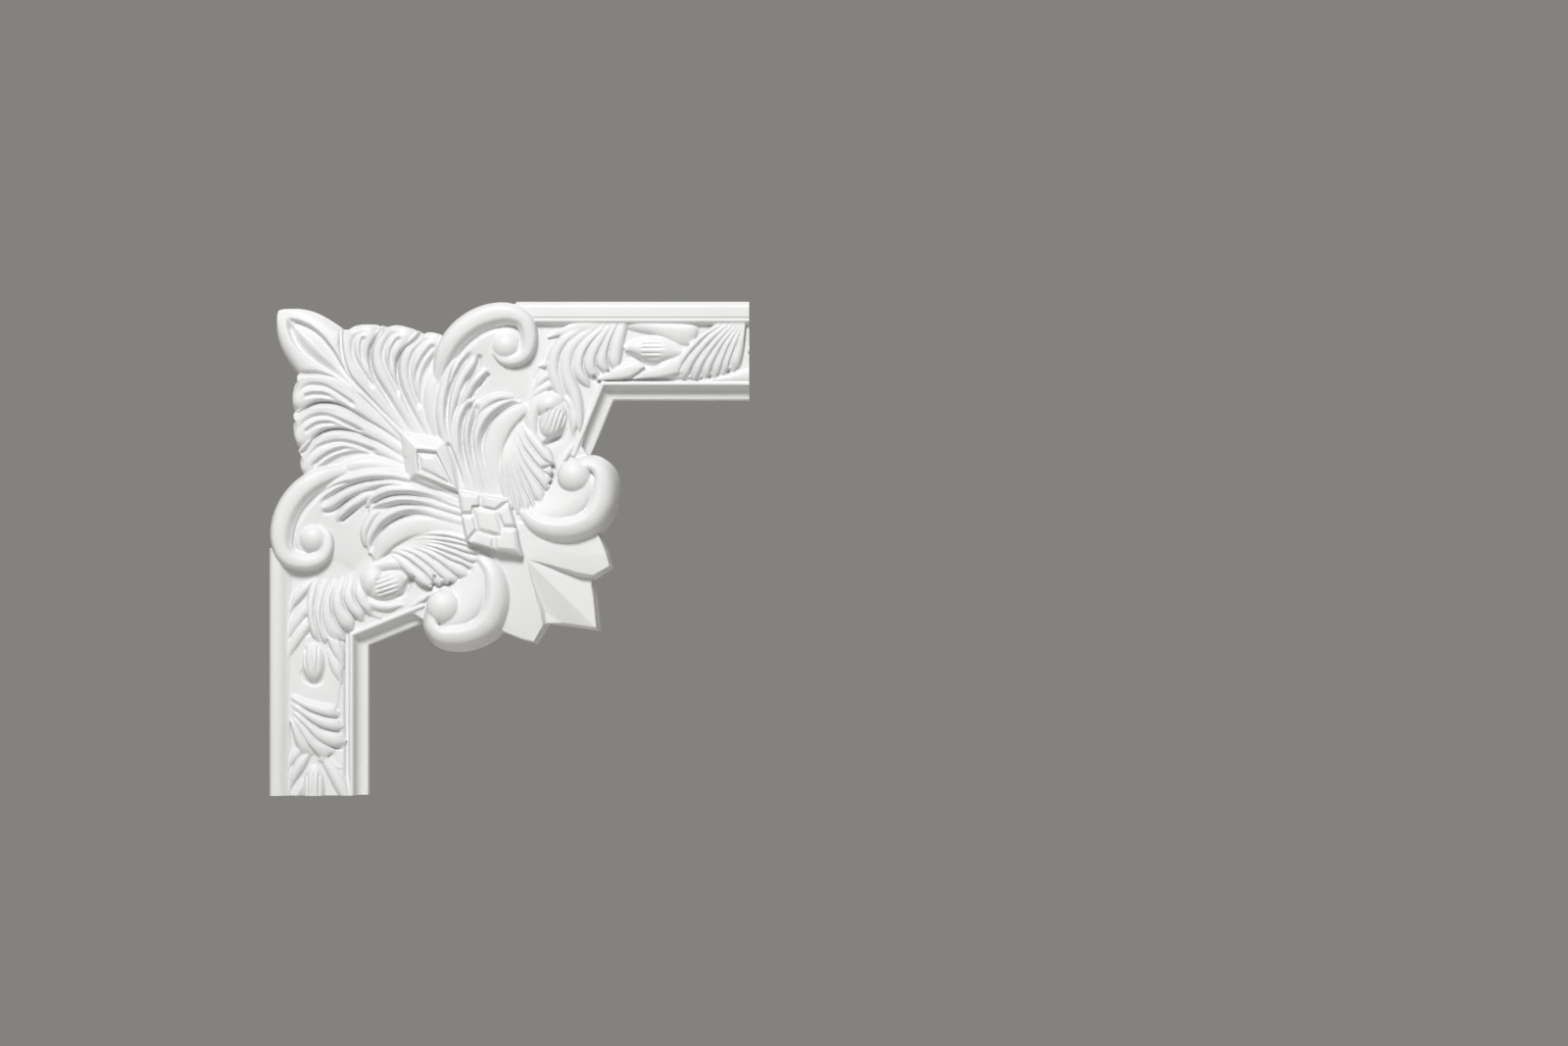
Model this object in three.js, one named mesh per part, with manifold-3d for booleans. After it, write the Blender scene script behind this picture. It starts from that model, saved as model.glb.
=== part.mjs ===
// A cast corner for wall panel mouldings: two moulded arms meet in a carved corner of leaves,
// scrolls and petals. It is one casting with a flat back.
//
// Drawing axes, in millimetres: u runs right along the top arm, v runs down along the side arm,
// both from the point where the outer edges of the two arms meet, and height runs off the wall.
// The carved corner is drawn DRAWN_CORNER across and the arms DRAWN_WIDTH wide. The real sizes
// stretch the drawing, and the second half of the corner swaps u and v.

import * as THREE from 'three';
import { mergeVertices } from 'three/addons/utils/BufferGeometryUtils.js';
import Module from 'manifold-3d';

const wasm = await Module();
wasm.setup();

// Sizes of the arms and of the carved corner
const MOULDING_WIDTH = 60;
const TOP_ARM_LENGTH = 292;
const SIDE_ARM_LENGTH = 300.5;
const LEAF_PITCH = 76;
const CORNER_SIZE = 214.5;
const ORIGIN_INSET = 134;

// Heights off the wall
const GROUND_HEIGHT = 12;
const FASCIA_HEIGHT = 19;
const FILLET_HEIGHT = 18.5;
const INNER_FILLET_HEIGHT = 15;
const INNER_EDGE_HEIGHT = 7;
const LOBE_HEIGHT = 18.5;
const LOBE_ROOT_HEIGHT = 14.5;
const LEAF_HEIGHT = 18;
const BUD_HEIGHT = 20;
const UPPER_SCROLL_HEIGHT = 24;
const LOWER_SCROLL_HEIGHT = 28;
const UPPER_CLASP_HEIGHT = 22;
const LOWER_CLASP_HEIGHT = 29;
const PETAL_HEIGHT = 17;

// Widths across an arm
const FASCIA_WIDTH = 9;
const FILLET_WIDTH = 3;
const COVE_WIDTH = 8.5;
const INNER_FILLET_WIDTH = 2;
const ROUNDED_EDGE = 2;

// Round pieces
const UPPER_BALL_RADIUS = 8;
const LOWER_BALL_RADIUS = 10;

// The size that the carving is drawn at
const DRAWN_CORNER = 214.5;
const DRAWN_WIDTH = 60;
const CORNER_SCALE = CORNER_SIZE / DRAWN_CORNER;
const ARM_SCALE = MOULDING_WIDTH / DRAWN_WIDTH;

// Every solid starts behind the wall plane and is cut flat along it
const BEHIND_WALL = -2;
const ABOVE_ALL = 60;
const EDGE_HEIGHT = GROUND_HEIGHT - 1;

// Slivers thinner than this along the joins are merged away
const SLIVER = 0.08;

// How far the notches between rib tips reach back, as a share of the last step along a fan
const NOTCH_SHARE = 0.45;

// Sections across a leaf or rib: place across from 0 to 1, then share of the way to the crest
const RIDGE = [[0, 0], [0.2, 0.72], [0.5, 1], [0.8, 0.72], [1, 0]];
const BOWL_EDGE = [[0, 0], [0.1, 0.65], [0.3, 1], [0.55, 0.9], [1, 0.4]];
const DISHED = [
  [0, 0], [0.1, 0.8], [0.22, 1], [0.36, 0.5], [0.5, 0.85], [0.64, 0.5], [0.78, 1], [0.9, 0.8], [1, 0],
];

function cornerPlace([u, v]) {
  return [u * CORNER_SCALE, v * CORNER_SCALE];
}

function armPlace([u, v]) {
  return [CORNER_SIZE + (u - DRAWN_CORNER) * ARM_SCALE, v * ARM_SCALE];
}

function swapped([u, v, ...rest]) {
  return [v, u, ...rest];
}

// Points evenly spaced along a smooth curve through a few drawn places
function curvePoints(places, count) {
  const curve = new THREE.SplineCurve(places.map(([u, v]) => new THREE.Vector2(u, v)));
  return curve.getSpacedPoints(count - 1);
}

// A value that runs through the listed ones as s goes from 0 to 1
function along(values, s) {
  const place = s * (values.length - 1);
  const index = Math.min(Math.floor(place), values.length - 2);
  return THREE.MathUtils.lerp(values[index], values[index + 1], place - index);
}

// A closed solid from a mesh in part axes, turned right side out
function solidOf(positions, faces) {
  const geometry = new THREE.BufferGeometry();
  geometry.setAttribute('position', new THREE.Float32BufferAttribute(positions, 3));
  geometry.setIndex(faces);
  const merged = mergeVertices(geometry, 1e-4);
  const vertProperties = merged.attributes.position.array;
  const triVerts = Uint32Array.from(merged.index.array);
  const corner = (index) => new THREE.Vector3().fromArray(vertProperties, index * 3);
  let volume = 0;
  for (let i = 0; i < triVerts.length; i += 3) {
    const [a, b, c] = [corner(triVerts[i]), corner(triVerts[i + 1]), corner(triVerts[i + 2])];
    volume += a.dot(b.cross(c));
  }
  if (volume < 0) {
    triVerts.reverse();
  }
  return new wasm.Manifold(new wasm.Mesh({ numProp: 3, vertProperties, triVerts }));
}

// A solid under a sheet of rows of [u, v, height], with straight walls down to behind the wall
function sheetSolid(rows) {
  const columns = rows[0].length;
  const sheetSize = rows.length * columns;
  const positions = [];
  for (const drop of [false, true]) {
    for (const [u, v, height] of rows.flat()) {
      positions.push(u - ORIGIN_INSET, ORIGIN_INSET - v, drop ? BEHIND_WALL : height);
    }
  }
  const faces = [];
  const quad = (a, b, c, d) => faces.push(a, b, c, a, c, d);
  const at = (row, column) => row * columns + column;
  for (let row = 0; row < rows.length - 1; row += 1) {
    for (let column = 0; column < columns - 1; column += 1) {
      const [a, b] = [at(row, column), at(row, column + 1)];
      const [c, d] = [at(row + 1, column + 1), at(row + 1, column)];
      quad(a, b, c, d);
      quad(d + sheetSize, c + sheetSize, b + sheetSize, a + sheetSize);
    }
  }
  const rim = [];
  for (let column = 0; column < columns - 1; column += 1) {
    rim.push([at(0, column + 1), at(0, column)]);
    rim.push([at(rows.length - 1, column), at(rows.length - 1, column + 1)]);
  }
  for (let row = 0; row < rows.length - 1; row += 1) {
    rim.push([at(row, 0), at(row + 1, 0)]);
    rim.push([at(row + 1, columns - 1), at(row, columns - 1)]);
  }
  for (const [from, to] of rim) {
    quad(from, to, to + sheetSize, from + sheetSize);
  }
  return solidOf(positions, faces);
}

// Carving is kept as rows of places, so that a half can be swapped before it becomes a solid.
// A strip lies between two curves drawn from the tip to the root; bow rounds its tip outwards.
function strip(left, right, { steps = 9, crest, edge = [EDGE_HEIGHT, EDGE_HEIGHT], section, bow = 0 }) {
  const leftPoints = curvePoints(left, steps);
  const rightPoints = curvePoints(right, steps);
  const middle = (i) => leftPoints[i].clone().add(rightPoints[i]).multiplyScalar(0.5);
  const outward = middle(0).sub(middle(2)).normalize();
  return leftPoints.map((start, i) => {
    const s = i / (steps - 1);
    const shift = bow * (1 - s) ** 4;
    return section.map(([across, rise]) => {
      const place = start.clone().lerp(rightPoints[i], across);
      place.addScaledVector(outward, shift * 4 * across * (1 - across));
      return [place.x, place.y, THREE.MathUtils.lerp(along(edge, s), along(crest, s), rise)];
    });
  });
}

// A rib or blade along one curve, with its half width and crest height listed along it
function blade(path, halfWidths, crest, { steps = 7, section = RIDGE, edge } = {}) {
  const points = curvePoints(path, steps);
  const side = points.map((point, i) => {
    const ahead = points[Math.min(i + 1, steps - 1)];
    const behind = points[Math.max(i - 1, 0)];
    const direction = ahead.clone().sub(behind).normalize();
    return new THREE.Vector2(direction.y, -direction.x);
  });
  return points.map((point, i) => {
    const s = i / (steps - 1);
    const half = along(halfWidths, s);
    const low = along(edge ?? [EDGE_HEIGHT, EDGE_HEIGHT], s);
    return section.map(([across, rise]) => {
      const place = point.clone().addScaledVector(side[i], half * (2 * across - 1));
      return [place.x, place.y, THREE.MathUtils.lerp(low, along(crest, s), rise)];
    });
  });
}

// Ribs that spread between three guide curves, each drawn with the same number of places
function fan([first, middle, last], { ribs, steps = 6, crest, edge }) {
  const guides = [first, middle, last].map((guide) => curvePoints(guide, steps));
  const rows = Array.from({ length: steps }, (_, i) => {
    const s = i / (steps - 1);
    const [start, through, end] = guides.map((points) => points[i]);
    const pull = through.clone().multiplyScalar(2).addScaledVector(start, -0.5).addScaledVector(end, -0.5);
    const arc = new THREE.QuadraticBezierCurve(start, pull, end);
    return Array.from({ length: 2 * ribs + 1 }, (_unused, column) => {
      const place = arc.getPoint(column / (2 * ribs));
      return [place.x, place.y, along(column % 2 === 1 ? crest : edge, s)];
    });
  });
  const [before, tips] = rows.slice(-2);
  for (let column = 0; column <= 2 * ribs; column += 2) {
    tips[column] = before[column].map((value, axis) => {
      return THREE.MathUtils.lerp(tips[column][axis], value, NOTCH_SHARE);
    });
  }
  return rows;
}

// A reeded bud: an oval with lengthwise reeds
function bud([u, v], angle, length, width, reeds) {
  const steps = 7;
  const columns = 2 * reeds + 1;
  const forward = new THREE.Vector2(Math.cos(angle), Math.sin(angle));
  const sideways = new THREE.Vector2(-forward.y, forward.x);
  return Array.from({ length: steps }, (_, i) => {
    const turn = Math.PI * (0.06 + (0.88 * i) / (steps - 1));
    return Array.from({ length: columns }, (_unused, column) => {
      const across = (2 * column) / (columns - 1) - 1;
      const place = new THREE.Vector2(u, v)
        .addScaledVector(forward, (-length / 2) * Math.cos(turn))
        .addScaledVector(sideways, (width / 2) * Math.sin(turn) * across);
      const swell = Math.sqrt(Math.max(0, 1 - across * across)) * Math.sin(turn);
      const reed = column % 2 === 1 ? 0 : -0.9;
      return [place.x, place.y, GROUND_HEIGHT - 1 + (BUD_HEIGHT - GROUND_HEIGHT + 1) * swell + reed];
    });
  });
}

// A faceted block: the drawn outline stands up to the shoulder and leans in to a smaller top
function block(outline, shoulder, top, inset) {
  const centre = [0, 1].map((axis) => {
    return outline.reduce((sum, place) => sum + place[axis], 0) / outline.length;
  });
  return { outline, centre, levels: [[1, shoulder], [1 - inset, top]] };
}

function blockSolid({ outline, centre, levels }, place) {
  const rings = [[1, BEHIND_WALL], ...levels];
  const count = outline.length;
  const positions = [];
  for (const [share, height] of rings) {
    for (const [u, v] of outline) {
      const drawn = [centre[0] + (u - centre[0]) * share, centre[1] + (v - centre[1]) * share];
      const [x, y] = place(drawn);
      positions.push(x - ORIGIN_INSET, ORIGIN_INSET - y, height);
    }
  }
  const faces = [];
  for (let i = 0; i < count; i += 1) {
    const next = (i + 1) % count;
    for (let ring = 0; ring < rings.length - 1; ring += 1) {
      const [low, high] = [ring * count, (ring + 1) * count];
      faces.push(low + i, low + next, high + next, low + i, high + next, high + i);
    }
  }
  const last = (rings.length - 1) * count;
  for (let i = 1; i < count - 1; i += 1) {
    faces.push(0, i + 1, i, last, last + i, last + i + 1);
  }
  return solidOf(positions, faces);
}

function solidFromGeometry(geometry) {
  geometry.deleteAttribute('normal');
  geometry.deleteAttribute('uv');
  const merged = mergeVertices(geometry, 1e-4);
  return solidOf([...merged.attributes.position.array], [...merged.index.array]);
}

function ball([u, v], radius, height) {
  const geometry = new THREE.SphereGeometry(radius * CORNER_SCALE, 12, 9);
  const [x, y] = cornerPlace([u, v]);
  geometry.translate(x - ORIGIN_INSET, ORIGIN_INSET - y, height);
  return solidFromGeometry(geometry);
}

const solids = [];

function addRows(rows, place = cornerPlace) {
  const placed = rows.map((row) => row.map(([u, v, height]) => [...place([u, v]), height]));
  solids.push(sheetSolid(placed));
}

// The drawn shape and its twin with u and v swapped
function addBoth(rows) {
  addRows(rows);
  addRows(rows.map((row) => row.map(swapped)));
}

function addBalls(place, radius, height) {
  solids.push(ball(place, radius, height));
  solids.push(ball(swapped(place), radius, height));
}

function addBothBlocks(shape) {
  solids.push(blockSolid(shape, cornerPlace));
  solids.push(blockSolid(shape, (place) => cornerPlace(swapped(place))));
}

// The ground: a flat plate under the whole corner, and one under each arm
function addGround() {
  const corner = [
    [36, 36], [52, 24], [80, 24], [106, 28], [128, 10], [145, 4], [160, 4], [200, 4],
    [200, 55], [190, 88], [208, 112], [204, 130], [192, 144], [186, 160], [170, 170],
  ];
  const outline = [...corner, ...corner.slice(1, -1).reverse().map(swapped)].map(cornerPlace);
  const corners = outline.map(([u, v]) => new THREE.Vector2(u - ORIGIN_INSET, ORIGIN_INSET - v));
  const depth = GROUND_HEIGHT - BEHIND_WALL;
  const plate = new THREE.ExtrudeGeometry(new THREE.Shape(corners), { depth, bevelEnabled: false });
  plate.translate(0, 0, BEHIND_WALL);
  solids.push(solidFromGeometry(plate));
}

// A moulding profile of [distance in from the edge, height] drawn along a mitred path in the plan
function mitredRows(path, profile) {
  return path.map(([u, v], i) => {
    const legs = [[path[i - 1], path[i]], [path[i], path[i + 1]]];
    const normals = legs.filter(([from, to]) => from && to).map(([from, to]) => {
      const length = Math.hypot(to[0] - from[0], to[1] - from[1]);
      return [(to[1] - from[1]) / length, (from[0] - to[0]) / length];
    });
    const sum = normals.reduce((total, normal) => [total[0] + normal[0], total[1] + normal[1]]);
    const scale = normals.length / (sum[0] ** 2 + sum[1] ** 2);
    return profile.map(([inset, height]) => {
      return [u - sum[0] * scale * inset, v - sum[1] * scale * inset, height];
    });
  });
}

// Each arm: the outer fascia and fillet, the ground of the leaf band, and the inner fillet and
// cove, which turn at a mitre and run behind the lower scroll
function addArm(length, turn) {
  const fasciaEnd = FASCIA_WIDTH * 1.09;
  const filletEnd = fasciaEnd + FILLET_WIDTH;
  const outer = [
    [0, FASCIA_HEIGHT - ROUNDED_EDGE * 2],
    [ROUNDED_EDGE * 0.6, FASCIA_HEIGHT - 1],
    [ROUNDED_EDGE * 1.5, FASCIA_HEIGHT],
    [FASCIA_WIDTH, FASCIA_HEIGHT],
    [fasciaEnd, FILLET_HEIGHT - 1],
    [fasciaEnd + 0.8, FILLET_HEIGHT],
    [filletEnd, FILLET_HEIGHT],
    [filletEnd + 1.5, GROUND_HEIGHT],
    [MOULDING_WIDTH - COVE_WIDTH - 1, GROUND_HEIGHT],
  ];
  const innerFillet = COVE_WIDTH + INNER_FILLET_WIDTH;
  const inner = [
    [0, INNER_EDGE_HEIGHT],
    [COVE_WIDTH * 0.2, INNER_EDGE_HEIGHT + 0.2],
    [COVE_WIDTH * 0.55, INNER_EDGE_HEIGHT + 1],
    [COVE_WIDTH * 0.85, INNER_EDGE_HEIGHT + 2.7],
    [COVE_WIDTH, INNER_EDGE_HEIGHT + 4.5],
    [COVE_WIDTH + 0.4, INNER_FILLET_HEIGHT],
    [innerFillet, INNER_FILLET_HEIGHT],
    [innerFillet + 1.5, GROUND_HEIGHT - 1],
  ];
  const cornerStart = cornerPlace([150, 0])[0];
  const mitre = [cornerPlace([209.5, 0])[0], MOULDING_WIDTH];
  const hidden = cornerPlace([194, 98]);
  const outerRows = mitredRows([[cornerStart, 0], [length + 1, 0]], outer);
  const innerRows = mitredRows([[length + 1, MOULDING_WIDTH], mitre, hidden], inner);
  for (const rows of [outerRows, innerRows]) {
    solids.push(sheetSolid(turn ? rows.map((row) => row.map(swapped)) : rows));
  }
}

// The tip leaf, the lobes beside it and the plain stalk leaf
const leafSide = [
  [5, 6], [8, 4.2], [20, 4.8], [32, 9.5], [43.5, 19], [43.5, 28], [47, 42], [58, 55], [82, 83.6],
];
const firstValley = [[44.5, 20], [43.5, 28], [47, 42], [57, 54], [80.6, 79.4]];
const secondValley = [[68, 16.5], [62, 29], [63, 43], [72, 59], [84, 79]];
const thirdValley = [[91, 20], [80, 32], [78, 46], [84, 63], [94, 79]];
const lastValley = [[107, 24], [95, 40], [92, 56], [94, 70], [101, 82]];
const lobeCrest = [8, 17, LOBE_HEIGHT, LOBE_HEIGHT, 17, 16, LOBE_ROOT_HEIGHT, LOBE_ROOT_HEIGHT];
const lobeEdge = [6, 11, 11.5, 11.5, 11.5, 11.5];

function addPalmette() {
  addRows(strip(leafSide, leafSide.map(swapped), {
    steps: 11,
    section: DISHED,
    crest: [9, 17, LEAF_HEIGHT, LEAF_HEIGHT, 17, 16, LOBE_ROOT_HEIGHT, LOBE_ROOT_HEIGHT],
    edge: [6, 8, 8, 9, 11, 11.5, 11.5, 11.5],
    bow: 1.5,
  }));
  const lobes = [
    [firstValley, secondValley, 7],
    [secondValley, thirdValley, 5.5],
    [thirdValley, lastValley, 6],
  ];
  for (const [left, right, bow] of lobes) {
    addBoth(strip(left, right, { steps: 9, section: DISHED, crest: lobeCrest, edge: lobeEdge, bow }));
  }
  addBoth(blade([[104, 38], [100, 52], [100, 66], [105, 84]], [1, 5, 6.5, 7], [14, 17, 16.5, 15]));
}

// The upper scroll: a ribbon that curls round a ball in a shallow dish
function addUpperScroll() {
  const curl = [
    [104, 46], [106, 32], [116, 18.5], [131, 8], [149, 4.3],
    [157.5, 10], [159.5, 21], [156, 31], [148, 35], [141, 33],
  ];
  const top = UPPER_SCROLL_HEIGHT;
  addBoth(blade(curl, [1, 4, 4.8, 5, 4.5, 4.5, 4.5, 4, 3, 1], [15, 20, top, top, top, 22, 20, 18, 15], {
    steps: 16,
    section: BOWL_EDGE,
    edge: [10, 8, 8, 8, 10, 12, 12],
  }));
  const dish = [[112, 32], [125, 22], [140, 18], [150, 24], [146, 32]];
  addBoth(blade(dish, [4, 6, 6, 5, 3], [16, 17.5, 17.5, 17, 15]));
  addBalls([145, 26], UPPER_BALL_RADIUS, top - UPPER_BALL_RADIUS * 0.9);
}

// Acanthus blades between the upper scroll and the clasps, and the shell beside the lower clasp
function addAcanthus() {
  const blades = [
    [[[126, 30], [114, 38], [108, 52], [109, 70], [116, 95]], [0.6, 2.6, 2.8, 2.6, 2.2]],
    [[[127, 35], [119, 44], [115, 57], [114, 74], [120, 98]], [0.6, 2.4, 2.4, 2, 1.6]],
    [[[132, 42], [124, 48], [119, 58], [117, 66]], [0.6, 2.6, 2.4, 1.5]],
    [[[125, 58], [116, 66], [115, 80], [119, 98], [126, 112]], [1.2, 3, 2.8, 2.6, 2]],
    [[[124, 64], [121, 76], [122, 90], [129, 112]], [0.8, 1.8, 2, 2]],
    [[[152, 61], [139, 64], [130, 74], [128, 90], [136, 115]], [0.6, 2.8, 3, 2.4, 2.2]],
    [[[148, 58], [136, 57], [127, 66]], [0.6, 2.4, 1.2]],
  ];
  for (const [path, halfWidths] of blades) {
    addBoth(blade(path, halfWidths, [14, 18, 19, 18.5, 17]));
  }
  addBoth(blade([[150, 66], [141, 78], [137, 92], [139, 110]], [2, 6, 5.5, 3], [14, 18, 18, 17]));
  addBoth(fan([
    [[147, 80], [143, 96], [146, 112], [156, 130]],
    [[151, 79], [152, 92], [157, 108], [167, 118]],
    [[157, 77], [161, 87], [168, 94], [175, 99]],
  ], { ribs: 6, crest: [15, 18, 19.5, 19.5, 18.5, 16], edge: [13, 16.5, 17, 16.5, 15, 14] }));
  addBoth(blade([[187, 80], [184, 88], [176, 96], [172, 108]], [1, 3.5, 3, 1], [14, 17, 17, 14]));
  addBoth(bud([173, 70], THREE.MathUtils.degToRad(112), 27, 17, 5));
  const husk = [[160, 82], [158, 72], [164, 60], [174, 57], [182, 62], [184, 74]];
  addBoth(blade(husk, [1, 2.5, 3, 3, 2.5, 1], [14, 17, 17, 17, 16, 14]));
}

// The lower scroll: a broad dish with a raised rim round a ball
function addLowerScroll() {
  const rim = [
    [150, 134], [163, 140], [180, 141], [193, 136.5], [203, 126.5], [207, 113],
    [202.5, 102], [194, 96.5], [184, 96], [176, 102], [173, 110],
  ];
  const top = LOWER_SCROLL_HEIGHT;
  const crest = [18, 23, top - 2, top, top, top - 1, 25, 22, 20, 18, 15];
  addBoth(blade(rim, [2.5, 6.5, 7.5, 8, 8, 8, 8, 7, 5, 4, 1], crest, {
    steps: 18,
    section: BOWL_EDGE,
    edge: [10, 10, 9, 9, 9, 9, 10, 12],
  }));
  const dish = [
    [158, 131], [164, 139], [180, 141], [195, 136], [205, 124], [207, 112], [200, 98], [186, 96], [174, 106],
  ];
  addBothBlocks(block(dish, top - 9, top - 11, 0.35));
  addBalls([184, 104], LOWER_BALL_RADIUS, top - LOWER_BALL_RADIUS);
}

// The petals below the lower clasp
function addPetals() {
  const [end, crease, root] = [PETAL_HEIGHT - 3, PETAL_HEIGHT - 1, PETAL_HEIGHT + 2];
  addRows([
    [[196, 169, end], [199.5, 199.5, crease], [169, 196, end]],
    [[163, 156, root - 2], [158, 158, root], [156, 163, root - 2]],
  ]);
  addBoth([
    [[201.5, 143, end], [208, 162, crease], [196.5, 169, end]],
    [[178, 144, end + 2], [182, 154, crease + 2], [178, 164, end + 1]],
    [[154, 146, root], [156, 152, root + 1], [158, 157.5, root - 2]],
  ]);
}

// The kite clasp at the root of the palmette, and the cut blocks of the lower clasp
function addClasps() {
  const kite = [[79.2, 79.2], [107, 84], [117, 117], [84, 107]];
  const gem = [[90, 90], [101, 92], [110, 110], [92, 101]];
  const bed = [[115, 115], [146, 119], [155, 155], [119, 146]];
  const centre = [[126, 126], [137, 130], [143, 143], [130, 137]];
  const head = [[118, 118], [129, 118.5], [130, 123], [124, 124], [123, 130], [118.5, 129]];
  const foot = [[144, 144], [145, 139], [151.5, 138], [153.5, 153.5], [138, 151.5], [139, 145]];
  const side = [[131, 119], [145, 120.5], [138, 127], [131, 124.5]];
  const lowerSide = [[146, 122], [150, 136], [144, 138], [139.5, 128]];
  const [upper, lower] = [UPPER_CLASP_HEIGHT, LOWER_CLASP_HEIGHT];
  const single = [
    block(kite, upper - 3, upper, 0.12),
    block(gem, upper, upper + 3, 0.5),
    block(bed, lower - 6, lower - 3, 0.06),
    block(centre, lower - 2, lower, 0.2),
    block(head, lower - 3, lower - 1, 0.15),
    block(foot, lower - 3, lower - 1, 0.15),
  ];
  for (const shape of single) {
    solids.push(blockSolid(shape, cornerPlace));
  }
  for (const outline of [side, lowerSide]) {
    addBothBlocks(block(outline, lower - 3, lower - 1, 0.15));
  }
}

// The running leaves and buds of the top arm: a wide fan at the corner, then a bud and a fan
function addTopBand() {
  const fanHeights = { crest: [16, 18, LEAF_HEIGHT, LEAF_HEIGHT, 16], edge: [14.5, 16, 15.5, 15, 14] };
  addRows(fan([
    [[188, 16], [174, 26], [168, 40], [172, 58]],
    [[199, 16], [186, 28], [184, 42], [192, 53]],
    [[216, 16], [211, 25], [209, 34], [209, 42]],
  ], { ribs: 7, ...fanHeights }), armPlace);
  addRows(blade([[179, 46], [184, 58], [188, 70], [187, 82]], [3, 4, 3.5, 1], [17, 18, 17, 14]), armPlace);
  for (const path of [[[170, 39], [162, 46], [157, 54]], [[171, 49], [163, 55], [158, 63]]]) {
    addRows(blade(path, [0.8, 2.2, 1], [15, 17, 14], { steps: 5 }), armPlace);
  }
  for (let shift = 0; 217 + shift < TOP_ARM_LENGTH; shift += LEAF_PITCH) {
    const place = ([u, v]) => armPlace([u + shift, v]);
    addRows(bud([236, 29], 0, 30, 17, 4), place);
    const husk = [[217, 31], [222, 24], [232, 19.5], [242, 22], [251, 27]];
    addRows(blade(husk, [1, 2.6, 2.2, 2.2, 1], [15, 17, 17, 17, 14]), place);
    addRows(blade([[217, 16.5], [236, 16], [250, 18], [257, 17]], [1.5, 2.5, 3, 1], [15, 17, 17, 15]), place);
    addRows(blade([[200, 46.5], [216, 41], [229, 42]], [1, 4.5, 2], [14, 17, 15]), place);
    addRows(fan([
      [[272, 16], [262, 21], [253, 28], [232, 46]],
      [[281, 16], [273, 24], [265, 33], [258, 48]],
      [[290, 16], [289, 22], [288, 27], [286, 36]],
    ], { ribs: 8, ...fanHeights }), place);
    addRows(blade([[262, 47], [276, 45], [292, 38]], [1, 3, 3.5], [14, 16, 16]), place);
  }
}

// The running leaves and buds of the side arm, drawn with the arm turned along u
function addSideBand() {
  const fanHeights = { crest: [16, 18, LEAF_HEIGHT, LEAF_HEIGHT, 16], edge: [14.5, 16, 15.5, 15, 14] };
  const place = (drawn) => swapped(armPlace(drawn));
  addRows(fan([
    [[172, 24], [186, 24], [200, 33], [212, 46]],
    [[172, 40], [184, 36], [196, 42], [205, 50]],
    [[172, 56], [180, 52], [188, 56], [195, 63]],
  ], { ribs: 7, ...fanHeights }), place);
  addRows(blade([[178, 18], [187, 14], [205, 12.5], [219, 12.5]], [1, 3, 2.5, 1], [14, 17, 17, 14]), place);
  for (let shift = 0; 204 + shift < SIDE_ARM_LENGTH; shift += LEAF_PITCH) {
    const moved = ([u, v]) => place([u + shift, v]);
    addRows(bud([218, 27], 0, 27, 16, 4), moved);
    addRows(blade([[196, 22], [205, 19], [218, 17], [232, 19]], [1, 2.5, 2.5, 1], [14, 17, 17, 14]), moved);
    addRows(blade([[207, 36], [214, 40], [228, 41], [236, 38]], [1, 4, 4, 2], [14, 17, 17, 14]), moved);
    addRows(fan([
      [[232, 12.5], [241, 18], [245, 30], [247, 42]],
      [[247, 12.5], [256, 22], [264, 34], [271, 47]],
      [[262, 12.5], [269, 16], [275, 21], [280, 30]],
    ], { ribs: 7, ...fanHeights }), moved);
    addRows(blade([[268, 15], [280, 13], [296, 13]], [1, 3, 1], [14, 17, 14]), moved);
  }
}

addGround();
addArm(TOP_ARM_LENGTH, false);
addArm(SIDE_ARM_LENGTH, true);
addPalmette();
addUpperScroll();
addAcanthus();
addLowerScroll();
addPetals();
addClasps();
addTopBand();
addSideBand();

// Both arms end square, and the back is flat on the wall
const limits = new THREE.BoxGeometry(TOP_ARM_LENGTH, SIDE_ARM_LENGTH, ABOVE_ALL);
limits.translate(TOP_ARM_LENGTH / 2 - ORIGIN_INSET, ORIGIN_INSET - SIDE_ARM_LENGTH / 2, ABOVE_ALL / 2);
const joined = solids.reduce((sum, solid) => sum.add(solid));
const casting = joined.intersect(solidFromGeometry(limits)).simplify(SLIVER);

const mesh = casting.getMesh();
const geometry = new THREE.BufferGeometry();
geometry.setAttribute('position', new THREE.BufferAttribute(mesh.vertProperties, 3));
geometry.setIndex(new THREE.BufferAttribute(mesh.triVerts, 1));
geometry.computeVertexNormals();

const whiteFoam = new THREE.MeshStandardMaterial({ color: 0xeeeeec, roughness: 0.55, metalness: 0 });
const corner = new THREE.Mesh(geometry, whiteFoam);
corner.name = 'panel_moulding_corner';

const root = new THREE.Group();
root.name = 'panel_moulding_corner_root';
root.rotation.x = Math.PI / 2;
root.add(corner);

export default root;
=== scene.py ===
# A cast corner for wall panel mouldings, carved with leaves, scrolls and petals.
import math

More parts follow.
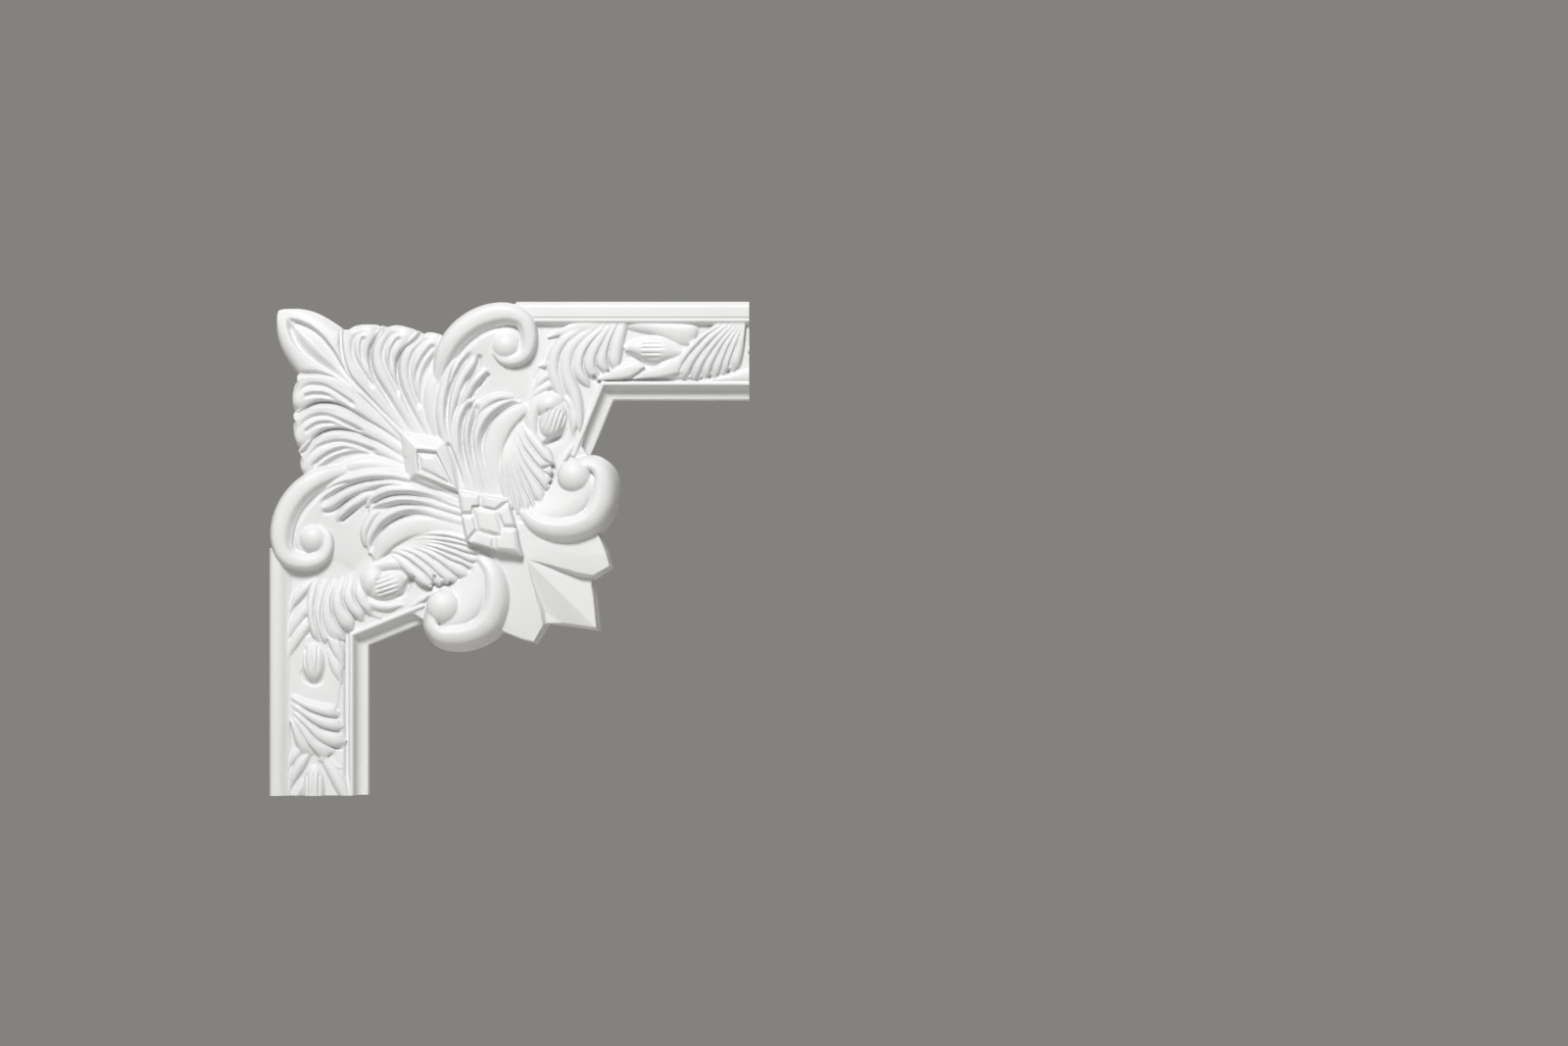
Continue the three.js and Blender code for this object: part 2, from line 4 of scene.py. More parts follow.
import bpy
import numpy as np
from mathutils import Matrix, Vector


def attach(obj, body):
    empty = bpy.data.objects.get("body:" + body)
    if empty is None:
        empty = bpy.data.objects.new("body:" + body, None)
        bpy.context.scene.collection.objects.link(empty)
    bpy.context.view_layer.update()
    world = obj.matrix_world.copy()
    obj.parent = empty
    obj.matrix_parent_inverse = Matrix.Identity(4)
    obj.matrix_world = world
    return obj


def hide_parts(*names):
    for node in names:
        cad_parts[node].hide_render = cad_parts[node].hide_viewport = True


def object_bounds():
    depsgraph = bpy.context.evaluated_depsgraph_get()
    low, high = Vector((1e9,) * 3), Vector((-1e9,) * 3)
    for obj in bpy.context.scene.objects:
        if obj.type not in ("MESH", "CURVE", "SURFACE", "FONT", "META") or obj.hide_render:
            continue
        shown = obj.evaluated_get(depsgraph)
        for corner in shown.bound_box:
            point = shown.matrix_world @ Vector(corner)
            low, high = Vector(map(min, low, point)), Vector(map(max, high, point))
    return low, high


mm = 0.001
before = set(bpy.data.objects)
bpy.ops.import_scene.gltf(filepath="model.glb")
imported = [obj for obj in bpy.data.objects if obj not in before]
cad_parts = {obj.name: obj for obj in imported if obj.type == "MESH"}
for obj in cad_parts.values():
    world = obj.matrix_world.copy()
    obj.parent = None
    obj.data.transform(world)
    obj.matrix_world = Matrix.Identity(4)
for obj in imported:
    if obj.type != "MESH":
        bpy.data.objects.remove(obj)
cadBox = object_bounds()
bpy.ops.object.select_all(action="DESELECT")
print("frame loaded")

# The carving is drawn flat: u runs right along the top arm and v down the side arm, both in
# millimetres from the outer corner, and height comes off the wall. It is stood up at the end.
leftEdge = cadBox[0].x
topEdge = cadBox[1].z
topArmLength = (cadBox[1].x - cadBox[0].x) / mm
sideArmLength = (cadBox[1].z - cadBox[0].z) / mm


def spot(u, v, height):
    return Vector((leftEdge + u * mm, topEdge - v * mm, height * mm))


def swapped(places):
    return [(v, u) for u, v in places]


def between(before, a, b, after, t):        # a place on the smooth curve from a to b
    return 0.5 * (2 * a + (b - before) * t + (2 * before - 5 * a + 4 * b - after) * t ** 2
                  + (3 * a - before - 3 * b + after) * t ** 3)


def shareAlong(values, share):              # a value on a smooth curve through the listed ones
    place = share * (len(values) - 1)
    index = min(int(place), len(values) - 2)
    before, after = values[max(index - 1, 0)], values[min(index + 2, len(values) - 1)]
    return between(before, values[index], values[index + 1], after, place - index)


def smoothPoints(places, count, steps=16):  # evenly spaced points on a smooth curve through the places
    points = [Vector(p) for p in places]
    points = [points[0] * 2 - points[1]] + points + [points[-1] * 2 - points[-2]]
    fine = []
    for i in range(1, len(points) - 2):
        fine += [between(*points[i - 1:i + 3], k / steps) for k in range(steps)]
    fine.append(points[-2])
    reach = [0.0]
    for start, end in zip(fine, fine[1:]):
        reach.append(reach[-1] + (end - start).length)
    spaced = []
    at = 0
    for k in range(count):
        want = reach[-1] * k / (count - 1)
        while at < len(fine) - 2 and reach[at + 1] < want:
            at += 1
        gap = reach[at + 1] - reach[at]
        spaced.append(fine[at].lerp(fine[at + 1], (want - reach[at]) / gap if gap else 0.0))
    return spaced


def pick(piece):
    if bpy.context.mode != "OBJECT":
        bpy.ops.object.mode_set(mode="OBJECT")
    bpy.ops.object.select_all(action="DESELECT")
    piece.select_set(True)
    bpy.context.view_layer.objects.active = piece


def editVertices(piece, chosen):    # enters edit mode with only these vertices selected
    bpy.ops.object.mode_set(mode="EDIT")
    bpy.ops.mesh.select_all(action="DESELECT")
    bpy.ops.object.mode_set(mode="OBJECT")
    chosen = set(chosen)
    for vertex in piece.data.vertices:
        vertex.select = vertex.index in chosen
    bpy.ops.object.mode_set(mode="EDIT")


def applyModifier(piece, kind, **settings):
    modifier = piece.modifiers.new(kind, kind)
    for key, value in settings.items():
        setattr(modifier, key, value)
    pick(piece)
    bpy.ops.object.modifier_apply(modifier=modifier.name)


# Masters: one strip of each kind, tip at the left, half width 1, which guides bend into place
tips = {"rows": 9, "narrowest": 0.03}       # the rows of a tip stand closer, on a quarter ellipse
nearby = 0.001                      # how close a vertex has to be to its line or row


def makeMaster(name, section, steps, tip=0.0, tipDrop=0.5, depth=1.6, point=1.0):
    bpy.ops.mesh.primitive_grid_add(x_subdivisions=steps, y_subdivisions=len(section) - 1, size=2)
    master = bpy.context.object
    master.name = name
    lines = sorted({round(vertex.co.y, 4) for vertex in master.data.vertices})
    bpy.ops.object.mode_set(mode="EDIT")
    bpy.ops.mesh.select_mode(type="VERT")
    bpy.ops.mesh.select_all(action="SELECT")
    bpy.ops.mesh.extrude_region_move(TRANSFORM_OT_translate={"value": (0, 0, -depth)})
    bpy.ops.object.mode_set(mode="OBJECT")
    start = [vertex.co.copy() for vertex in master.data.vertices]
    top = [i for i, co in enumerate(start) if co.z > -depth / 2]
    for line, (across, drop) in zip(lines, section):
        onLine = [i for i, co in enumerate(start) if abs(co.y - line) < nearby]
        editVertices(master, onLine)
        bpy.ops.transform.translate(value=(0, across - line, 0))
        editVertices(master, [i for i in onLine if i in top])
        bpy.ops.transform.translate(value=(0, 0, drop))
    rows = sorted({round(co.x, 4) for co in start})
    tipRows = tips["rows"] if tip else 0
    for i, row in enumerate(rows):
        onRow = [k for k, co in enumerate(start) if abs(co.x - row) < nearby]
        angle = min(i / max(tipRows, 1), 1) * math.pi / 2
        fromTip = tip * (1 - math.cos(angle))
        if i > tipRows:
            fromTip = tip + (1 - tip) * (i - tipRows) / (len(rows) - 1 - tipRows)
        place = fromTip * 2 - 1
        editVertices(master, onRow)
        bpy.ops.transform.translate(value=(place - row, 0, 0))
        if i < tipRows:
            width = max(math.sin(angle) ** point, tips["narrowest"])
            bpy.ops.transform.resize(value=(1, width, 1), center_override=(place, 0, 0))
            editVertices(master, [k for k in onRow if k in top])
            bpy.ops.transform.translate(value=(0, 0, -tipDrop * (1 - math.sin(angle))))
    bpy.ops.mesh.select_all(action="SELECT")
    bpy.ops.mesh.normals_make_consistent(inside=False)
    pick(master)
    return master


def sides(half):                    # a symmetric section from its right half
    return [(-across, drop) for across, drop in reversed(half) if across > 0] + half


masters = {
    # a crowned strip with rolled edges
    "pad": makeMaster("padMaster", sides([
        (0, 0), (0.2, -0.01), (0.4, -0.03), (0.56, -0.06), (0.7, -0.1), (0.81, -0.17), (0.9, -0.28),
        (0.96, -0.42), (1, -0.6)]), 60, tip=0.05, tipDrop=0.4),
    # a lobe: a rim beside the tip leaf, and a long slope on the other side
    "lobe": makeMaster("lobeMaster", [
        (-1, -0.5), (-0.95, -0.26), (-0.88, -0.11), (-0.79, -0.02), (-0.66, 0), (-0.5, -0.03),
        (-0.3, -0.04), (-0.1, 0), (0.1, 0.02), (0.3, 0.01), (0.45, -0.02), (0.57, -0.07), (0.67, -0.14),
        (0.77, -0.23), (0.87, -0.34), (0.94, -0.44), (1, -0.58)], 70, tip=0.07, tipDrop=0.42),
    # a rib of a fan, with a valley at each side and a pointed end
    "rib": makeMaster("ribMaster", sides([
        (0, 0), (0.2, -0.02), (0.4, -0.08), (0.6, -0.2), (0.76, -0.36), (0.9, -0.6), (1, -0.9)]),
        50, tip=0.15, tipDrop=0.7, point=1.5),
    # a blade of the acanthus, rounder at its tip
    "blade": makeMaster("bladeMaster", sides([
        (0, 0), (0.2, -0.02), (0.4, -0.08), (0.6, -0.22), (0.76, -0.42), (0.9, -0.7), (1, -1)]),
        60, tip=0.07, tipDrop=0.6),
    # the tip leaf: broad and nearly flat, with rolled edges
    "leaf": makeMaster("leafMaster", sides([
        (0, 0), (0.2, 0), (0.4, 0), (0.55, -0.01), (0.68, -0.04), (0.79, -0.1), (0.88, -0.19),
        (0.95, -0.31), (1, -0.45)]), 80, tip=0.02, tipDrop=0.4),
    # a half round strip for small leaves, stalks and bud hoods
    "round": makeMaster("roundMaster", sides([
        (0, 0), (0.2, -0.03), (0.4, -0.1), (0.58, -0.22), (0.74, -0.4), (0.87, -0.62), (0.96, -0.85),
        (1, -1.1)]), 40, depth=2.2),
    # the scroll ribbon: a steep inner slope, a broad crest and a round outer wall
    "ribbon": makeMaster("ribbonMaster", [
        (-1, -0.68), (-0.9, -0.64), (-0.78, -0.52), (-0.65, -0.34), (-0.52, -0.17), (-0.38, -0.05),
        (-0.2, 0), (0.1, 0.02), (0.35, 0), (0.55, -0.06), (0.72, -0.19), (0.85, -0.4), (0.94, -0.7),
        (1, -1.2)], 100, depth=2.6),
    # the rim of the lower scroll: a crest near its inner side and a long rounded flank
    "rim": makeMaster("rimMaster", [
        (-1, -0.36), (-0.88, -0.23), (-0.76, -0.12), (-0.64, -0.04), (-0.5, 0), (-0.35, -0.01),
        (-0.18, -0.05), (0, -0.12), (0.2, -0.24), (0.38, -0.42), (0.54, -0.66), (0.68, -0.98),
        (0.8, -1.35), (0.9, -1.8), (0.97, -2.3), (1, -2.7)], 100, depth=3.4),
}
carved = {"half": [], "whole": []}          # pieces of the half that is mirrored, and of the whole corner
valleys = {"half": [], "whole": []}         # grooves that are cut between the ribs of the fans
print("masters made")


def makeGuide(points, radii):       # a smooth curve whose radius is the half width
    data = bpy.data.curves.new("guide", "CURVE")
    data.dimensions = "3D"
    data.twist_mode = "Z_UP"
    data.use_radius = True
    data.use_stretch = True
    data.use_deform_bounds = True
    data.resolution_u = 12
    spline = data.splines.new("BEZIER")
    spline.bezier_points.add(len(points) - 1)
    for knot, point, radius in zip(spline.bezier_points, points, radii):
        knot.co = point
        knot.radius = radius
        knot.handle_left_type = "AUTO"
        knot.handle_right_type = "AUTO"
    guide = bpy.data.objects.new("guide", data)
    bpy.context.scene.collection.objects.link(guide)
    return guide


def bend(kind, points, halfWidths, group):      # a master bent through [u, v, height] points
    guide = makeGuide([spot(*point) for point in points], [width * mm for width in halfWidths])
    pick(masters[kind])
    bpy.ops.object.duplicate()
    piece = bpy.context.object
    applyModifier(piece, "CURVE", object=guide, deform_axis="POS_X")
    bpy.data.objects.remove(guide)
    carved[group].append(piece)


def lay(kind, path, halfWidths, crest, group="half"):     # a master along one line
    knots = 4 * max(len(path), 3) - 3
    flat = smoothPoints(path, knots)
    shares = [i / (knots - 1) for i in range(knots)]
    points = [(p.x, p.y, shareAlong(crest, share)) for p, share in zip(flat, shares)]
    bend(kind, points, [shareAlong(halfWidths, share) for share in shares], group)


overlap = 1.07                      # strips side by side reach a little into each other
fanGroove = {"width": 0.9, "depth": 1.6}


def layBetween(kind, left, right, reach, crest, group="half", knots=17):   # its edges follow two lines
    pairs = list(zip(smoothPoints(left, knots), smoothPoints(right, knots)))
    middles = [(a + b) / 2 for a, b in pairs]
    widths = [(a - b).length / 2 for a, b in pairs]
    span = pairs[0][1] - pairs[0][0]
    outward = Vector((span.y, -span.x)).normalized()
    if outward.dot(middles[0] - middles[2]) < 0:
        outward.negate()
    middles = [middles[0] + outward * reach] + middles
    points = [(p.x, p.y, shareAlong(crest, i / knots)) for i, p in enumerate(middles)]
    bend(kind, points, [overlap * width for width in [widths[0]] + widths], group)


def layFan(lines, crest, reach, group="whole"):     # ribs side by side between the lines
    for left, right in zip(lines, lines[1:]):
        layBetween("rib", left, right, reach, crest, group)
    widths = (fanGroove["width"], fanGroove["width"])
    valleys[group] += [(line[:-1], widths, fanGroove["depth"]) for line in lines[1:-1]]


def shapeRing(piece, ring, places):     # moves each listed vertex to its place
    for index, place in zip(ring, places):
        editVertices(piece, [index])
        bpy.ops.transform.translate(value=place - piece.data.vertices[index].co)
    bpy.ops.object.mode_set(mode="OBJECT")


def closeUp(piece, group):          # makes its normals consistent and lists it with the others
    bpy.ops.object.mode_set(mode="EDIT")
    bpy.ops.mesh.select_all(action="SELECT")
    bpy.ops.mesh.normals_make_consistent(inside=False)
    pick(piece)
    carved[group].append(piece)


def stack(name, rings, group):      # a closed block whose outline passes through the rings in turn
    count = len(rings[0])
    bpy.ops.mesh.primitive_circle_add(vertices=count, radius=0.1, fill_type="NGON")
    block = bpy.context.object
    block.name = name
    newest = range(count)
    shapeRing(block, newest, rings[0])
    for ring in rings[1:]:
        editVertices(block, newest)
        bpy.ops.mesh.extrude_region_move(TRANSFORM_OT_translate={"value": (0, 0, 0.001)})
        bpy.ops.object.mode_set(mode="OBJECT")
        newest = range(len(block.data.vertices) - count, len(block.data.vertices))
        shapeRing(block, newest, ring)
    closeUp(block, group)


behind = -1                         # blocks start 1 mm behind the wall, and the back is cut flat at the end


def terrace(name, levels, group="whole"):      # a block whose rings stand at the listed heights
    levels = [(levels[0][0], behind)] + levels
    stack(name, [[spot(*place, height) for place in ring] for ring, height in levels], group)


def drawnIn(outline, share):        # the same outline, smaller about its middle
    middle = [sum(place[axis] for place in outline) / len(outline) for axis in (0, 1)]
    return [tuple(m + (c - m) * (1 - share) for m, c in zip(middle, place)) for place in outline]


def sheet(name, rows, group="half", rounds=0, spread=0.0):      # a plate under rows of [u, v, height]
    bpy.ops.mesh.primitive_grid_add(x_subdivisions=len(rows[0]) - 1, y_subdivisions=len(rows) - 1, size=0.2)
    plate = bpy.context.object
    plate.name = name
    bpy.ops.object.mode_set(mode="EDIT")
    bpy.ops.mesh.select_mode(type="VERT")
    bpy.ops.mesh.select_all(action="SELECT")
    bpy.ops.mesh.extrude_region_move(TRANSFORM_OT_translate={"value": (0, 0, -0.05)})
    bpy.ops.object.mode_set(mode="OBJECT")
    start = [vertex.co.copy() for vertex in plate.data.vertices]
    order = sorted(range(len(start)), key=lambda i: (-round(start[i].z, 3), round(start[i].y, 3),
                                                     start[i].x))
    flat = [place for row in rows for place in row]
    foot = drawnIn([place[:2] for place in flat], -spread)
    shapeRing(plate, order, [spot(*place) for place in flat] + [spot(*place, behind) for place in foot])
    closeUp(plate, group)
    if rounds:
        applyModifier(plate, "SUBSURF", levels=rounds)


def mound(u, v, height, across, rise, along=None, turn=0.0, group="half"):      # a ball, or a long one
    bpy.ops.mesh.primitive_uv_sphere_add(segments=48, ring_count=24, radius=1)
    ball = bpy.context.object
    ball.scale = (across * mm, (along or across) * mm, rise * mm)
    ball.rotation_euler = (0, 0, -math.radians(turn))
    ball.location = spot(u, v, height)
    bpy.ops.object.transform_apply(location=True, rotation=True, scale=True)
    carved[group].append(ball)


def moulding(name, profile, path):      # a profile of [distance in, height] along a mitred path
    legs = list(zip(path, path[1:]))
    stations = []
    for i, (u, v) in enumerate(path):
        normals = [Vector((a[1] - b[1], b[0] - a[0])).normalized() for a, b in legs[max(i - 1, 0):i + 1]]
        total = sum(normals, Vector((0, 0)))
        across = total * (len(normals) / total.length_squared)
        stations.append([spot(u + across.x * inset, v + across.y * inset, height)
                         for inset, height in profile])
    stack(name, stations, "whole")


# Ground of the corner
ground = {"height": 13.5, "outline": [
    (36, 36), (52, 26), (80, 26), (106, 30), (128, 12), (145, 6), (160, 6), (200, 6),
    (200, 55), (190, 88), (206, 112), (202, 130), (190, 142), (184, 158), (166, 166)]}
outline = ground["outline"] + swapped(ground["outline"][1:-1])[::-1]
terrace("ground", [(outline, ground["height"])])
print("ground made")


# Both arms: an outer fascia with a fillet, the ground of the leaf band, and an inner fillet and
# cove that turn at a mitre and run behind the lower scroll
arms = {
    "outer": [(0, -1), (0, 13), (0.4, 15.5), (1.2, 17.3), (2.2, 18.5), (3.4, 19), (9.4, 19), (10.2, 18.2),
              (10.8, 18.4), (11.4, 18.6), (12.2, 18.4), (13.2, 17.2), (14.6, 13.8), (46, 13.8),
              (47, 11.5), (51, 11.5), (51, -1)],
    "sideOuter": [(0, -1), (0, 14.6), (0.4, 16.6), (1.2, 17.9), (2.4, 18.6), (5.6, 18.7), (6.8, 18.4),
                  (7.8, 17.9), (8.8, 17.2), (9.8, 16.4), (10.8, 15.6), (11.6, 15.2), (12.2, 15),
                  (12.8, 14.2), (13.8, 13.8), (45, 13.8), (46.2, 11.5), (51, 11.5), (51, -1)],
    "inner": [(0, -1), (0, 5), (0.6, 7), (1.6, 7.3), (3.4, 7.4), (4.6, 7.7), (5.8, 8.4), (6.8, 9.4),
              (7.6, 10.9), (8.3, 13), (9.2, 15), (10.4, 15.3), (11.2, 14.8), (12.2, 11), (12.2, -1)],
    "start": 150, "width": 60, "overrun": 1, "mitre": (209.5, 60), "hidden": (194, 98),
}
for name, length, turned in (("topArm", topArmLength, False), ("sideArm", sideArmLength, True)):
    end = length + arms["overrun"]
    outer = [(arms["start"], 0), (end, 0)]
    inner = [(end, arms["width"]), arms["mitre"], arms["hidden"]]
    if turned:
        outer = swapped(outer)[::-1]
        inner = swapped(inner)[::-1]
    moulding(name + "Outer", arms["sideOuter" if turned else "outer"], outer)
    moulding(name + "Inner", arms["inner"], inner)
print("arms made")


# Tip leaf, the lobes beside it and the plain stalk leaf, on a low bed
palmette = {
    "leafBed": [(9, 8), (15, 7), (22, 8.5), (30, 12), (38, 17.5), (45, 24), (48, 36), (60, 58)],
    "leafBedHeight": 9,
    "bed": [(45.5, 20), (48, 18), (52, 16), (57.6, 15), (63.5, 15.6), (68.2, 16.4), (74, 16), (80, 15.6),
            (84.7, 16.6), (90, 19.4), (94, 19.4), (98.8, 20), (103.5, 20.8), (107, 22), (108, 34),
            (106, 60), (90, 84)],
    "bedHeight": 11, "bedTop": 14, "bedInset": 0.12,
    "leafSide": [(6.5, 4.6), (9.5, 4.1), (14, 4), (20, 4.8), (26, 6.5), (32, 9.5), (38, 13.5), (44.5, 19),
                 (44, 26), (45, 33), (49.5, 43), (58, 54), (70, 67.5), (82, 80.5)],
    "leafReach": 0.6,
    "leafCrest": [14, 16.5, 17.5, 18, 18, 18, 17.5, 17, 16.5, 16, 15.5],
    "edges": [
        [(44.5, 20), (43.5, 28), (47, 42), (57, 54), (83, 82)],
        [(68, 17), (62, 29), (63, 43), (72, 59), (87, 84)],
        [(90.5, 20.5), (80, 32), (78, 46), (84, 63), (96, 85)],
        [(107, 22.5), (95, 40), (92, 56), (94, 70), (103, 87)]],
    "reach": [5.0, 4.7, 3.3],
    "crest": [17.5, 18.5, 18.8, 18.2, 17, 16, 15, 14.5],
    "stalk": ([(105.5, 34), (100, 50), (99.5, 66), (105, 86)], [1.5, 5.5, 7.5, 8], [14, 17.5, 17, 15.5]),
}
leafBed = palmette["leafBed"]
leafSide = palmette["leafSide"]
lobeTop = drawnIn(palmette["bed"], palmette["bedInset"])
terrace("leafBed", [(leafBed + swapped(leafBed)[::-1], palmette["leafBedHeight"])])
terrace("lobeBed", [(palmette["bed"], palmette["bedHeight"]), (lobeTop, palmette["bedTop"])], "half")
layBetween("leaf", swapped(leafSide), leafSide, palmette["leafReach"], palmette["leafCrest"],
           "whole", knots=33)
for left, right, reach in zip(palmette["edges"], palmette["edges"][1:], palmette["reach"]):
    layBetween("lobe", left, right, reach, palmette["crest"])
lay("round", *palmette["stalk"])
print("palmette made")


# Upper scroll: a ribbon that curls round a ball in a shallow dish, over a plain field
upperScroll = {
    "ribbon": [(102, 56), (104.5, 40), (110.5, 26), (120.5, 15.5), (133, 9.2), (146, 7.7), (155.3, 12),
               (158.3, 22), (156, 31), (149.5, 35.2), (142, 34.8), (137, 30)],
    "widths": [1.5, 4, 6.4, 7.4, 7.7, 7.7, 7.2, 6, 5.3, 4.5, 4, 2.5],
    "crest": [14, 18, 21.5, 23.5, 24, 24, 24, 23.5, 22.5, 21.5, 20.5, 18.5],
    "dish": [
        [(107, 42, 18), (113, 28, 19.5), (125, 15, 19.8), (142, 9, 19.5), (158, 14, 18)],
        [(110, 50, 17), (119, 35, 18), (131, 26, 18.6), (144, 24, 17.8), (161, 28, 14.5)],
        [(113, 57, 16), (123, 46, 16.2), (135, 39, 16.2), (148, 39, 15.4), (165, 40, 13)],
        [(118, 63, 15.6), (128, 58, 15.6), (140, 54, 15.6), (154, 53, 15), (172, 48, 13)],
        [(124, 72, 15.2), (132, 70, 15.2), (143, 68, 15.2), (157, 66, 14.8), (174, 60, 13.5)]],
    "ball": {"u": 144.2, "v": 27, "height": 14.5, "across": 8.9, "rise": 8.2},
}
lay("ribbon", upperScroll["ribbon"], upperScroll["widths"], upperScroll["crest"])
sheet("scrollDish", upperScroll["dish"], rounds=3)
mound(**upperScroll["ball"])
print("upper scroll made")


# Acanthus blades between the upper scroll and the clasps, each drawn between its two edges
acanthus = {
    "blades": [
        ([(124, 29), (114, 33.5), (106, 45), (102, 60), (103.5, 78), (112, 102), (119, 119)],
         [(127, 30), (118, 38), (113, 47), (109.5, 58), (108.5, 74), (116, 104), (122, 120)]),
        ([(125.5, 31), (118, 38.5), (112.5, 48), (109, 60), (109, 76), (117, 105), (122, 120)],
         [(129.5, 32), (126, 40), (120.5, 48), (116, 58), (112, 70), (112, 84), (120, 108), (125, 121)]),
        ([(130, 40), (122.5, 46.5), (117.5, 54), (114.5, 63)],
         [(134.5, 43), (129, 49), (124, 55.5), (118, 65)]),
        ([(122.5, 59.5), (116.5, 62), (112, 70), (111.5, 82), (114, 94), (120, 109), (125, 121)],
         [(126, 59.5), (122.5, 64), (119, 71), (117.5, 81), (119, 93), (124, 110), (128, 121)]),
        ([(125, 61), (122, 65.5), (118.5, 73), (117.5, 83), (119.5, 95), (124.5, 111), (128, 121)],
         [(128.5, 61.5), (127.6, 67), (125, 74), (123.3, 83), (124.5, 95), (129, 112), (132, 122)]),
        ([(151, 59.8), (139, 61), (130, 66.5), (125.5, 74), (123.5, 84), (125.5, 97), (130, 113),
          (133, 122)],
         [(154, 62), (145, 64.8), (136.5, 70.8), (131.3, 79), (129.3, 88), (131, 99), (136, 115),
          (138, 123)]),
        ([(147, 56.5), (138, 56), (129, 61), (125, 67)],
         [(148, 59.8), (139, 60.8), (130, 66.5), (126, 72)])],
    "reach": 1.5,
    "crest": [17, 19, 20, 20, 19.5, 19, 18],
    "bed": [(112, 44), (126, 38), (128, 60), (152, 62), (152, 78), (144, 118), (118, 112), (104, 84),
            (103, 60)],
    "bedHeight": 15.5,
    "stemBed": [(108, 86), (118, 82), (130, 96), (140, 108), (148, 124), (130, 122), (117, 117)],
    "stemHeight": 17,
    "broadBlade": [[(152, 62), (143, 67), (136, 74), (131, 84), (130.5, 96), (135, 116), (137, 124)],
                   [(160, 64), (151, 73), (145, 83), (142, 94), (142.5, 106), (146, 122), (147, 127)]],
    "broadReach": 1,
    "broadCrest": [16, 18.5, 19, 19, 18.5, 18],
}
for left, right in acanthus["blades"]:
    layBetween("blade", left, right, acanthus["reach"], acanthus["crest"])
terrace("acanthusBed", [(acanthus["bed"], acanthus["bedHeight"])], "half")
terrace("stemBed", [(acanthus["stemBed"], acanthus["stemHeight"])], "half")
layBetween("pad", *acanthus["broadBlade"], acanthus["broadReach"], acanthus["broadCrest"])
print("acanthus made")


# The ribbed shell beside the lower clasp
shell = {
    "lines": [
        [(144.5, 121), (141.5, 112), (140, 104), (140.5, 93), (144, 82)],
        [(147, 123), (145.5, 118), (143, 108), (142.5, 95), (145, 81)],
        [(150, 126), (149.5, 122), (147.5, 115), (145.8, 105), (145, 95), (146, 80)],
        [(154, 128.5), (153, 121), (150.5, 113), (148, 105), (146.5, 95), (147, 80)],
        [(159, 126.5), (158.5, 122), (155.5, 116), (152.5, 108), (150, 100), (148, 92), (148, 78)],
        [(163.5, 123.5), (160, 118), (158, 112), (155.5, 107), (152, 100), (149.5, 92), (149, 78)],
        [(168, 117), (165.5, 112), (161, 106.5), (157, 101), (153, 94), (150.5, 86), (150, 76)],
        [(169.5, 107), (166, 102.5), (162, 98.5), (158, 93.5), (154, 87.5), (151.5, 80), (151, 74)],
        [(171, 99), (166, 95.5), (162, 91), (157, 84.5), (153.5, 78), (152, 74)],
        [(173, 96), (171, 91), (167, 86), (160, 79), (156, 75)]],
    "reach": 2.8,
    "crest": [20, 20.5, 20, 19, 17.5, 15.5],
}
layFan(shell["lines"], shell["crest"], shell["reach"], "half")
print("shell made")


# The slanting bud above the shell, held by two leaves
slantBud = {
    "stem": ([(187, 84), (181, 93), (176, 101), (173, 110)], [0.8, 1.8, 1.8, 0.8], [14.5, 16, 16.2, 15]),
    "bed": [(146, 62), (158, 56), (172, 47), (186, 50), (194, 70), (190, 84), (182, 94), (174, 106),
            (160, 92)],
    "bedHeight": 14.5,
    "body": {"u": 172.8, "v": 71, "height": 11.5, "across": 8.8, "along": 13, "rise": 9.5, "turn": 20},
    "head": {"u": 170, "v": 62.5, "height": 11.5, "across": 9.8, "along": 7.5, "rise": 9.5, "turn": -20},
    "leaves": [([(164, 87), (159.5, 77), (161, 66), (169, 58), (179, 60)], [0.8, 4.5, 4.8, 3.8, 1.5]),
               ([(177, 56), (183.5, 62), (185.5, 71), (184.5, 82)], [1.5, 3, 3.2, 0.8])],
    "leafCrest": [15, 17, 17.5, 17.5, 15],
}
lay("round", *slantBud["stem"])
terrace("budBed", [(slantBud["bed"], slantBud["bedHeight"])], "half")
mound(**slantBud["body"])
mound(**slantBud["head"])
for path, widths in slantBud["leaves"]:
    lay("round", path, widths, slantBud["leafCrest"])
print("slanting bud made")


# Lower scroll: a broad shallow dish that rolls down to the wall, with a ball at its eye
lowerScroll = {
    "rim": [(178.5, 109), (180, 103.5), (185, 100), (191, 98.3), (198, 98.5), (204, 104), (205.5, 113),
            (203.7, 124), (197.5, 134), (187, 139.5), (175, 140.5), (163.5, 137.5), (156, 131), (151, 123)],
    "widths": [1.5, 3.5, 4.3, 5.6, 7.6, 8.2, 8.4, 8.7, 8.8, 8.7, 8, 6.8, 5, 2.5],
    "crest": [20, 21.5, 23.5, 24.8, 25.6, 26.3, 26.8, 27, 27, 26.8, 26, 24.5, 22, 18],
    "dish": [
        [(148, 122, 18), (159, 120, 16.5), (168, 112, 16.5), (175, 103, 17), (183, 99, 19.5)],
        [(155, 130, 20.5), (166, 126, 21), (178, 120, 22), (188, 111, 22.6), (194, 100, 22.5)],
        [(159, 136.5, 22.5), (171, 138, 24.4), (188, 135, 25), (200, 123, 25), (204, 104, 24)]],
    "ball": {"u": 185.6, "v": 106, "height": 19, "across": 10.2, "rise": 8.2},
}
lay("rim", lowerScroll["rim"], lowerScroll["widths"], lowerScroll["crest"])
sheet("lowerDish", lowerScroll["dish"], rounds=3)
mound(**lowerScroll["ball"])
